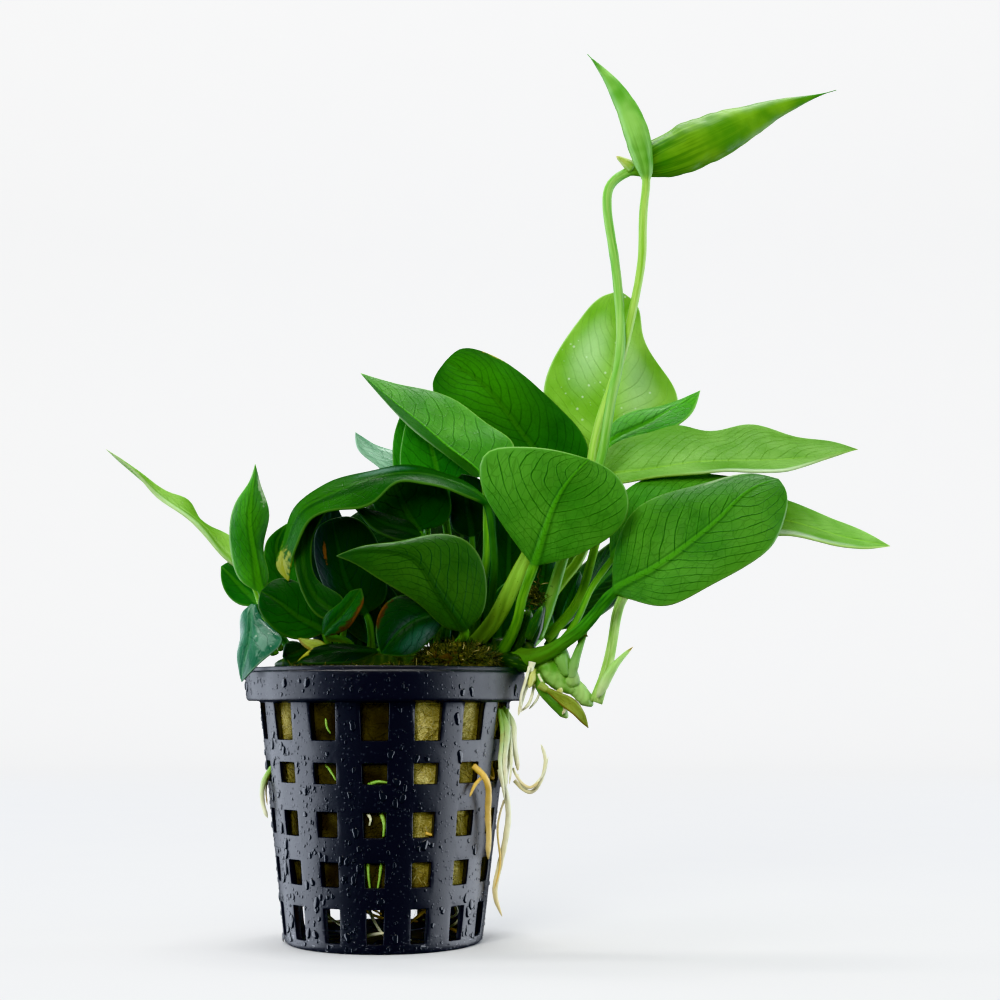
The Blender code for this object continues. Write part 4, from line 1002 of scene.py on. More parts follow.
def moss_threads(count, seed):
    """Threads that start on the mound, on a low band behind the rim or in a tuft, and curl away from it."""
    draw = chance(seed)
    on_mound = int(count * MOUND_SHARE)
    ball = unit(draw.normal(size=(on_mound, 3)) * (1, 1, 0.8))
    ball[:, 2] = np.abs(ball[:, 2]) * 1.05 - 0.1
    start = MOSS_CENTRE / MM + ball * (7.4, 5.4, 3.3)
    way = unit(ball + 0.9 * draw.normal(size=ball.shape))
    rest = count - on_mound
    angle = draw.uniform(-0.95, 0.75, rest) + 0.12
    radius = draw.uniform(20.5, 25.2, rest)
    band = turned(angle, radius, draw.uniform(50.2, 53.0, rest))
    turn, reach = draw.uniform(1.7, 4.6, TUFTS), draw.uniform(9, 18.5, TUFTS)
    hearts = turned(turn, reach, 50.3)
    behind = draw.random(rest) < TUFT_SHARE
    tufts = hearts[draw.integers(0, TUFTS, rest)] + draw.normal(size=(rest, 3)) * TUFT_SPREAD
    band = np.where(behind[:, None], tufts, band)
    band_way = unit(draw.normal(size=(rest, 3)) * (1, 1, 0.45))
    length = draw.uniform(0.3, 1.25, count)
    start[:CLUMP_THREADS] = CLUMP + draw.normal(size=(CLUMP_THREADS, 3)) * CLUMP_SPREAD
    bend = 0.6 * draw.normal(size=(count, 3))
    thick = draw.uniform(0.07, 0.19, count) * MM
    return np.vstack((start, band)) * MM, np.vstack((way, band_way)), bend, length * MM, thick


curls = threads("moss_threads", *moss_threads(MOSS_THREADS, 21), seed=22)
moss_thread, tone = thread_finish(
    "moss_thread", 0.75, (0.007, 0.006, 0.003), (0.10, 0.50, (0.030, 0.045, 0.010)),
    (0.55, 0.80, (0.10, 0.095, 0.025)), (0.95, 0.99, (0.50, 0.44, 0.20)),
)
moss_thread.set(Base_Color=tone)
trim(curls, moss_thread)
print("moss:", made["moss_surface"], made["moss_threads"])

# %% [markdown]
# ## The creeping stem
#
# An anubias grows from a stem that creeps over what it is planted on. It is smooth and pale green, ringed with
# the scars of old leaves, and a branch hangs over the rim at the right. Both are tubes whose radius swells a
# little at each scar: radius * (1 + ridges + noise).

# %% Stem and branch
STEMS = {
    "rhizome":
        "-22 5 53.4 2.1, -10 4 53.8 2.5, 4 3 54.3 2.8, 16 1.5 54.8 3, 24 -1 56.2 2.8, "
        "29.5 -4.4 56.8 2.6",
    "rhizome_branch":
        "29.5 -4.4 56.6 2.3, 32.1 -5.4 53.3 2.8, 34.8 -5.6 50.4 2.2, 37.6 -5.4 48.8 1.6, "
        "39.6 -5.1 46.6 1.5, 40.9 -5.1 45.3 1.2",
}
SCAR_SPACING, ROUNDED_SHARE, STEM_SIDES = 3.4, 0.10, 36


def stem_rings(text, rows):
    """A tube with raised scars every few millimetres and both ends rounded off."""
    rings, distance = tube_rings(*stations(text), rows, STEM_SIDES)
    centre = rings.mean(axis=1, keepdims=True)
    share = (distance / distance[-1])[:, None]
    slant = 0.5 * np.sin(full_turn(STEM_SIDES)) + 0.3 * swell(rings, 0.004)
    ridge = np.cos(2 * math.pi * (distance[:, None] / MM / SCAR_SPACING + slant)) ** 8
    closing = np.sqrt(np.clip(np.minimum(share, 1 - share) / ROUNDED_SHARE, 0, 1) * 0.97 + 0.03)
    grown = (1 + 0.035 * ridge + 0.06 * swell(rings + 0.3, 0.0035)) * closing
    return centre + (rings - centre) * grown[..., None], triple(ridge, share, ridge)


def stem_finish(name, dark, light):
    """Pale green skin, browner and duller along the old scars, with fine lengthwise grain."""
    skin = Finish(name, roughness=0.38, coat=0.25)
    vector, ridge, share, spare = skin.values("stem")
    blotch = skin.noise(260.0, 3.0)
    tone = skin.mix(skin.between(blotch, 0.3, 0.7), dark, light)
    tone = skin.mix(skin.times(ridge, 0.22), tone, (0.20, 0.30, 0.05))
    spots = skin.between(skin.cells(900.0, feature="F1"), 0.16, 0.08, 0.0, 0.35)
    tone = skin.mix(spots, tone, (0.05, 0.09, 0.01))
    skin.relief(skin.noise(1500.0, 3.0), 0.00012, 0.5)
    skin.set(Base_Color=tone)
    return skin


# Under the crown the creeping stem is near black: painted shade of the leaves over it. The hanging branch, out in
# the light, keeps the pale green.
stem_in_painted_shade = stem_finish("creeping_stem", (0.006, 0.026, 0.004), (0.022, 0.075, 0.010))
branch_green = stem_finish("hanging_branch", (0.10, 0.34, 0.035), (0.44, 0.70, 0.22))
for name, node, rows, skin in (
    ("creeping_stem", "rhizome", 140, stem_in_painted_shade), ("hanging_branch", "rhizome_branch", 90, branch_green),
):
    rings, value = stem_rings(STEMS[node], rows)
    dress(loft(name, rings, {"stem": value}), skin, node)
print("stems:", made["creeping_stem"], made["hanging_branch"])

# %% [markdown]
# ## Leaves
#
# A leaf is measured as four curves: its stalk, its midrib, and the two margins of the blade, each point with
# its own depth. A place on the blade is a pair: the share of the way from base to tip, and the share of the
# way out from the midrib, -1 at one margin and 1 at the other. Between the curves the blade bulges, ripples and
# quilts between its veins. The skin runs across the front and back again behind, so the blade is one closed
# shell of real thickness, with a raised rib on its underside that carries on from the stalk.

# %% One leaf
SAMPLES_ACROSS = 33
BLADE_ROWS_PER_MM, STALK_ROWS_PER_MM = 1.5, 0.9
LEAF_THICKNESS = 0.5
TIP_HALF_WIDTH = 0.10
VEIN_BEND, VEIN_CURVE = 0.38, 1.3
MOST_STALK_ROWS, MOST_BLADE_ROWS = (12, 34), (30, 76)


def crowd_ends(count, low, high, crowding):
    """Evenly spaced numbers pushed towards both ends and, where they straddle 0, towards the middle."""
    t = np.linspace(low, high, count)
    return t - crowding * np.sin(2 * math.pi * t) / (2 * math.pi)


class Leaf:
    """A leaf's curves and the rings of points that skin them."""

    def __init__(self, spec):
        self.spec = spec
        self.thick = spec["thick"] * MM
        stalk, midrib = place(spec["stalk"]), place(spec["midrib"])
        left, right = place(spec["left"]), place(spec["right"])
        self.path = Path(np.vstack((stalk, midrib)))
        self.start = self.path.knots[len(stalk)]
        self.blade_length = self.path.length - self.start
        base_way = square_to(right[0] - left[0], unit(midrib[1] - midrib[0])) * self.thick
        tip_way = square_to(right[-1] - left[-1], unit(midrib[-1] - midrib[-2])) * TIP_HALF_WIDTH * MM
        self.base_way = unit(base_way)
        self.left = Path(np.vstack((midrib[:1] - base_way, left, midrib[-1:] - tip_way)))
        self.right = Path(np.vstack((midrib[:1] + base_way, right, midrib[-1:] + tip_way)))
        self.front_is_under = spec["face"] == "under"

    def frame(self, share):
        """Midrib points, both margins and the front-facing directions at shares of the blade."""
        distance = self.start + self.blade_length * share
        centre = self.path.at(distance)
        left = self.left.at(self.left.length * share)
        right = self.right.at(self.right.length * share)
        up = unit(np.cross(unit(right - left), self.path.along(distance)))
        return centre, left, right, up

    def phase(self, share, across):
        """Counts the side veins: a whole number on each vein, which leaves the midrib and bends to the tip."""
        bend = VEIN_BEND * np.abs(across) ** VEIN_CURVE
        return self.spec["veins"] * (share - bend) + 0.5 * (across < 0)

    def surface(self, share, across):
        """The blade's middle surface: midrib + |across| * (margin - midrib) + lift * front direction.

        The lift is arch * 4|a|(1 - |a|) + ripple * sin * a^2, and a quilting that follows the veins.
        """
        centre, left, right, up = self.frame(share)
        s, a = share[:, None], across[None]
        amount = np.abs(a)[..., None]
        margin = np.where(a[..., None] < 0, left[:, None], right[:, None])
        spread = centre[:, None] + amount * (margin - centre[:, None])
        half = np.linalg.norm(margin - centre[:, None], axis=-1) / MM
        height, number = self.spec["ripple"]
        swing = np.sin(2 * math.pi * number * s) * np.sign(a)
        lift = self.spec["arch"] * 4 * np.abs(a) * (1 - np.abs(a)) + height * swing * a**2
        lift = lift * np.sin(math.pi * s)
        ridge = (0.5 + 0.5 * np.cos(2 * math.pi * self.phase(s, a))) ** 3
        inside = smooth(np.abs(a), 0.02, 0.2) * smooth(-np.abs(a), -0.97, -0.72)
        inside = inside * smooth(s, 0.02, 0.12) * smooth(-s, -0.96, -0.82)
        quilt = 0.10 * (ridge - 0.3) * inside * np.clip(half / 8, 0.3, 1.4)
        lift = lift + (quilt if self.front_is_under else -quilt)
        uneven = self.spec["uneven"] * swell(spread + 0.11, 0.0065) * inside
        edge_wave = 0.16 * swell(spread + 0.37, 0.0042) * a**4 * np.sin(math.pi * s) ** 0.5
        lift = (lift + uneven + edge_wave) * MM
        return spread + lift[..., None] * up[:, None], up, half

    def skin(self):
        """Rings round the whole leaf, and for each point its place on the blade."""
        across = crowd_ends(SAMPLES_ACROSS, -1.0, 1.0, 0.7)
        back = across[-2:0:-1]
        a = np.concatenate((across, back))
        on_front = np.concatenate((np.ones(len(across)), -np.ones(len(back))))
        is_under = (on_front > 0) == self.front_is_under

        length = self.blade_length / MM
        stalk_rows = int(np.clip(STALK_ROWS_PER_MM * self.start / MM, *MOST_STALK_ROWS))
        blade_rows = int(np.clip(BLADE_ROWS_PER_MM * length, *MOST_BLADE_ROWS))
        distance = np.linspace(0, self.start, stalk_rows, endpoint=False)
        along = self.path.along(distance)
        right = square_to(np.tile(self.base_way, (stalk_rows, 1)), along)
        front = np.cross(right, along)
        swollen = 1 + self.spec["sheath"] * np.exp(-distance / MM / self.spec["sheath_reach"])
        joint = 1 + 0.10 * np.exp(-(((self.start - distance) / MM - 2.5) / 1.8) ** 2)
        radius = (self.thick * joint)[:, None]
        wide = radius * swollen[:, None] * a
        channel = np.where(is_under, 1.0, 1 - 0.38 * np.exp(-((a / 0.42) ** 2)))
        deep = radius * (0.6 + 0.4 * swollen[:, None]) * np.sqrt(1 - a**2) * on_front * channel
        middle = self.path.at(distance)[:, None]
        spokes = wide[..., None] * right[:, None] + deep[..., None] * front[:, None]
        bumps = 1 + 0.05 * swell(middle + spokes, 0.003)
        stalk = middle + spokes * bumps[..., None]

        share = crowd_ends(blade_rows, 0.0, 1.0, 0.35)
        middle, up, half = self.surface(share, a)
        s = share[:, None]
        thin = LEAF_THICKNESS / 2
        from_edge = np.clip((1 - np.abs(a)) * half / thin, 0, 1)
        tip_thinning = 0.35 + 0.65 * smooth(-s, -1.0, -0.9)
        flat = thin * np.sqrt(np.clip(1 - (1 - from_edge) ** 2, 0, 1)) * tip_thinning
        rounded = self.spec["thick"] * np.sqrt(1 - a**2)[None] * np.where(is_under, 1.0, channel)
        fade = (1 - s) ** (length / 2.6)
        body = flat + fade * (rounded - flat)
        x = np.abs(a) * half
        rib_height = 0.62 * self.spec["thick"] * (1 - s) ** 0.85 + 0.02
        rib_width = 0.62 * self.spec["thick"] * (1 - s) ** 0.6 + 0.12
        rib = (1 - fade) * rib_height * np.exp(-((x / rib_width) ** 2))
        groove = (1 - fade) * 0.14 * (1 - s) * np.exp(-((x / 0.4) ** 2))
        body = body + np.where(is_under, rib, -groove)
        blade = middle + (body * on_front)[..., None] * up[:, None] * MM

        rings = np.concatenate((stalk, blade))
        from_blade = (distance - self.start) / MM
        shares = np.concatenate((from_blade / length, share))[:, None]
        places = np.concatenate((from_blade, share * length))[:, None]
        halves = np.concatenate((np.full((stalk_rows, len(a)), self.spec["thick"]), half))
        return rings, {
            "blade": triple(a, shares, is_under.astype(float)), "place_mm": triple(a * halves, places, halves)
        }


print("leaf skin: rings of", 2 * SAMPLES_ACROSS - 2)

# %% [markdown]
# ### Leaf finish
#
# The same two numbers, share along and share across, draw the leaf's markings. A vein lies where the vein
# count is a whole number, so `2 |fraction - half|` nears 1 on thin lines that leave the midrib and bend to the
# tip. Noise makes the lines wander a little. Between them runs a fine net of cells, measured in real
# millimetres. The tone is painted paler along the veins, painted light on the quilting's raised ridges, and a
# dark band beside the midrib is painted shade. The underside is paler and duller than the upper side, and the
# margin is a thin light line. A painted light is a soft ellipse of another tone, a painted highlight, sheen or
# shade, and a blemish a ragged one: browned edges, spots and torn bits.

# %% Leaf finish
def leaf_finish(name, look):
    """Builds one leaf's material from its look: tones times a gain that also paints shade, gloss, veins, painted
    light and blemishes.
    """
    leaf = Finish(name, roughness=look["rough"], coat=look["coat"], specular=look["shine"])

    # The gain scales every tone: the leaf's own lightness, and painted shade for leaves deep in the plant.
    def tint(colour):
        return tuple(part * look["tone_and_shade_gain"] for part in colour)

    vector, a, s, under = leaf.values("blade")
    mm_vector, x, y, half = leaf.values("place_mm")
    size = leaf.calc("ABSOLUTE", a)
    from_rib = leaf.calc("ABSOLUTE", x)
    from_edge = leaf.times(leaf.minus(1.0, size), half)
    broad = leaf.noise(95.0, 2.0)
    fine = leaf.noise(1900.0, 2.0)
    mottle = leaf.noise(420.0, 3.0)

    bend = leaf.times(leaf.calc("POWER", size, VEIN_CURVE), VEIN_BEND)
    count = leaf.times(leaf.minus(s, bend), float(look["veins"]))
    other_side = leaf.times(leaf.calc("LESS_THAN", a, 0.0), 0.5)
    wander = leaf.times(leaf.minus(leaf.noise(85.0, 1.0), 0.5), 1.3)
    spacing = leaf.noise(1.0, 1.0, vector=leaf.stretched(vector, (0.5, 6.0, 0.0)))
    spacing = leaf.times(leaf.minus(spacing, 0.5), 1.4)
    phase = leaf.plus(count, other_side, wander, spacing)

    def line(value, low, high):
        """Rises from low to high nearness to a whole number."""
        fraction = leaf.calc("FRACT", value)
        nearness = leaf.times(leaf.calc("ABSOLUTE", leaf.minus(fraction, 0.5)), 2.0)
        return leaf.between(nearness, low, high)

    on_blade = leaf.times(leaf.between(size, 0.99, 0.86), leaf.between(s, 0.0, 0.03))
    faded = leaf.between(leaf.noise(230.0), 0.30, 0.55, 0.6, 1.0)
    vein = leaf.times(line(phase, 0.86, 0.96), on_blade, faded)
    # Paler along the veins: painted light on the quilting's raised ridges.
    quilt_light = leaf.times(line(phase, 0.55, 0.95), on_blade)
    minor = leaf.times(line(leaf.times(phase, 3.0), 0.84, 0.98), on_blade)
    slanted = leaf.stretched(mm_vector, (0.75, 0.55, 0.0))
    net = leaf.times(leaf.between(leaf.cells(1.0, slanted), 0.075, 0.0), on_blade)
    rib_half = leaf.plus(0.18, leaf.times(leaf.minus(1.0, s), 0.55))
    off_rib = leaf.calc("DIVIDE", from_rib, rib_half)
    rib = leaf.times(leaf.between(off_rib, 1.15, 0.55), leaf.between(s, 0.0, 0.02))
    # A dark band either side of the midrib: painted shade beside the rib.
    rib_shade_band = leaf.times(leaf.between(off_rib, 2.3, 1.4), leaf.between(off_rib, 0.9, 1.3))
    groove = leaf.times(rib_shade_band, leaf.between(s, 0.0, 0.06))
    rim = leaf.times(leaf.between(from_edge, 0.42, 0.10), leaf.between(s, 0.02, 0.06))

    light, vein_tone = tint(look["light"]), tint(look["vein_tone"])
    broad = leaf.between(broad, 0.28, 0.72)
    upper = leaf.mix(broad, tint(look["dark"]), light)
    below = leaf.mix(broad, *map(tint, look["under"]))
    tone = leaf.mix(under, upper, below)
    tone = leaf.mix(leaf.between(mottle, 0.35, 0.75, 0.0, 0.16), tone, light)

    def away(share, across, reach, spread):
        """Distance from a place on the blade, 1 on an ellipse of that reach and spread."""
        ds = leaf.calc("DIVIDE", leaf.minus(s, share), reach)
        da = leaf.calc("DIVIDE", leaf.minus(a, across), spread)
        return leaf.calc("SQRT", leaf.plus(leaf.times(ds, ds), leaf.times(da, da)))

    # Each ellipse is a painted highlight, sheen or shade on the blade.
    for *where, colour, amount in look["painted_light"]:
        tone = leaf.mix(leaf.between(away(*where), 1.15, 0.1, 0.0, amount), tone, colour)
    strength = look["vein"]
    for mask, amount, colour in (
        (quilt_light, 0.30 * strength, light), (net, 0.34 * strength, vein_tone),
        (minor, 0.16 * strength, vein_tone), (vein, strength, vein_tone), (groove, 0.6 * strength, vein_tone),
        (rib, look["rib_share"], tint(look["rib"])), (rim, look["rim_share"], tint(look["rim"])),
    ):
        tone = leaf.mix(leaf.times(mask, amount), tone, colour)

    streaks = leaf.noise(1.0, 2.0, vector=leaf.stretched(mm_vector, (2.2, 0.16, 1.0)))
    stalk = leaf.mix(leaf.between(streaks, 0.3, 0.7), *look["stalk_tones"])
    # Towards its foot the stalk takes the foot tone: by default dark, painted shade of the crown, and for a few
    # leaves their pale sheath colour.
    foot_shade_and_sheath, foot_amount = look["foot"]
    stalk = leaf.mix(leaf.between(y, -7.0, -22.0, 0.0, foot_amount), stalk, foot_shade_and_sheath)
    dots = leaf.between(leaf.cells(1150.0, feature="F1"), 0.19, 0.10)
    dots = leaf.times(dots, leaf.between(leaf.noise(300.0), 0.50, 0.62, 0.0, look["dots"]))
    stalk = leaf.mix(dots, stalk, (0.03, 0.10, 0.01))
    tone = leaf.mix(leaf.between(s, 0.012, -0.02), tone, stalk)

    ragged = leaf.times(leaf.minus(leaf.noise(900.0, 4.0), 0.5), 2.4)
    crust = 0.0
    # Small pale dots on some blades: painted glints of water drops.
    if look["glint_specks"]:
        drop_glint = leaf.between(leaf.cells(620.0, feature="F1"), 0.20, 0.12, 0.0, look["glint_specks"])
        tone = leaf.mix(leaf.times(drop_glint, leaf.between(leaf.noise(170.0), 0.48, 0.60), on_blade), tone, GLINT)
    for *where, colour, amount in look["blemishes"]:
        here = leaf.between(leaf.plus(away(*where), ragged), 1.1, 0.6, 0.0, amount)
        tone = leaf.mix(here, tone, colour)
        if amount > 0.9:
            crust = leaf.calc("MAXIMUM", crust, here)

    sign = leaf.minus(leaf.times(under, 2.0), 1.0)
    lines = leaf.plus(leaf.times(vein, 0.55), leaf.times(net, 0.22))
    height = leaf.plus(leaf.times(lines, sign), leaf.times(fine, 0.20))
    leaf.relief(height, 0.00018, 0.8)
    rough = leaf.between(mottle, 0.3, 0.7, look["rough"] - 0.04, look["rough"] + 0.07)
    rough = leaf.plus(rough, leaf.times(under, 0.05), leaf.times(crust, 0.35))
    leaf.set(Base_Color=tone, Roughness=rough)
    return leaf


print("leaf finish ready")

# %% [markdown]
# ### The measured leaves
#
# Each leaf's stalk, midrib and two margins, in millimetres as seen from the front, with depth in the middle.
# `arch` is how far each half bulges, `ripple` the height and number of the margin's waves, `thick` the stalk's
# radius, `veins` how many side veins a side has, and `face` the side that shows at the front.

# %% Leaf measurements
def measured(table):
    """Leaves by name: a line of arch, ripple, thick, veins and face, then stalk, midrib, left and right."""
    leaves = {}
    for record in table.replace(",\n", ", ").strip().split("\n\n"):
        head, *curves = record.split("\n")
        name, *form, face = head.split()
        arch, height, number, thick, veins = map(float, form)
        stalk, midrib, left, right = map(read_points, curves)
        leaves[name] = dict(
            stalk=stalk, midrib=midrib, left=left, right=right, arch=arch, ripple=(height, number),
            thick=thick, veins=veins, face=face,
        )
    return leaves


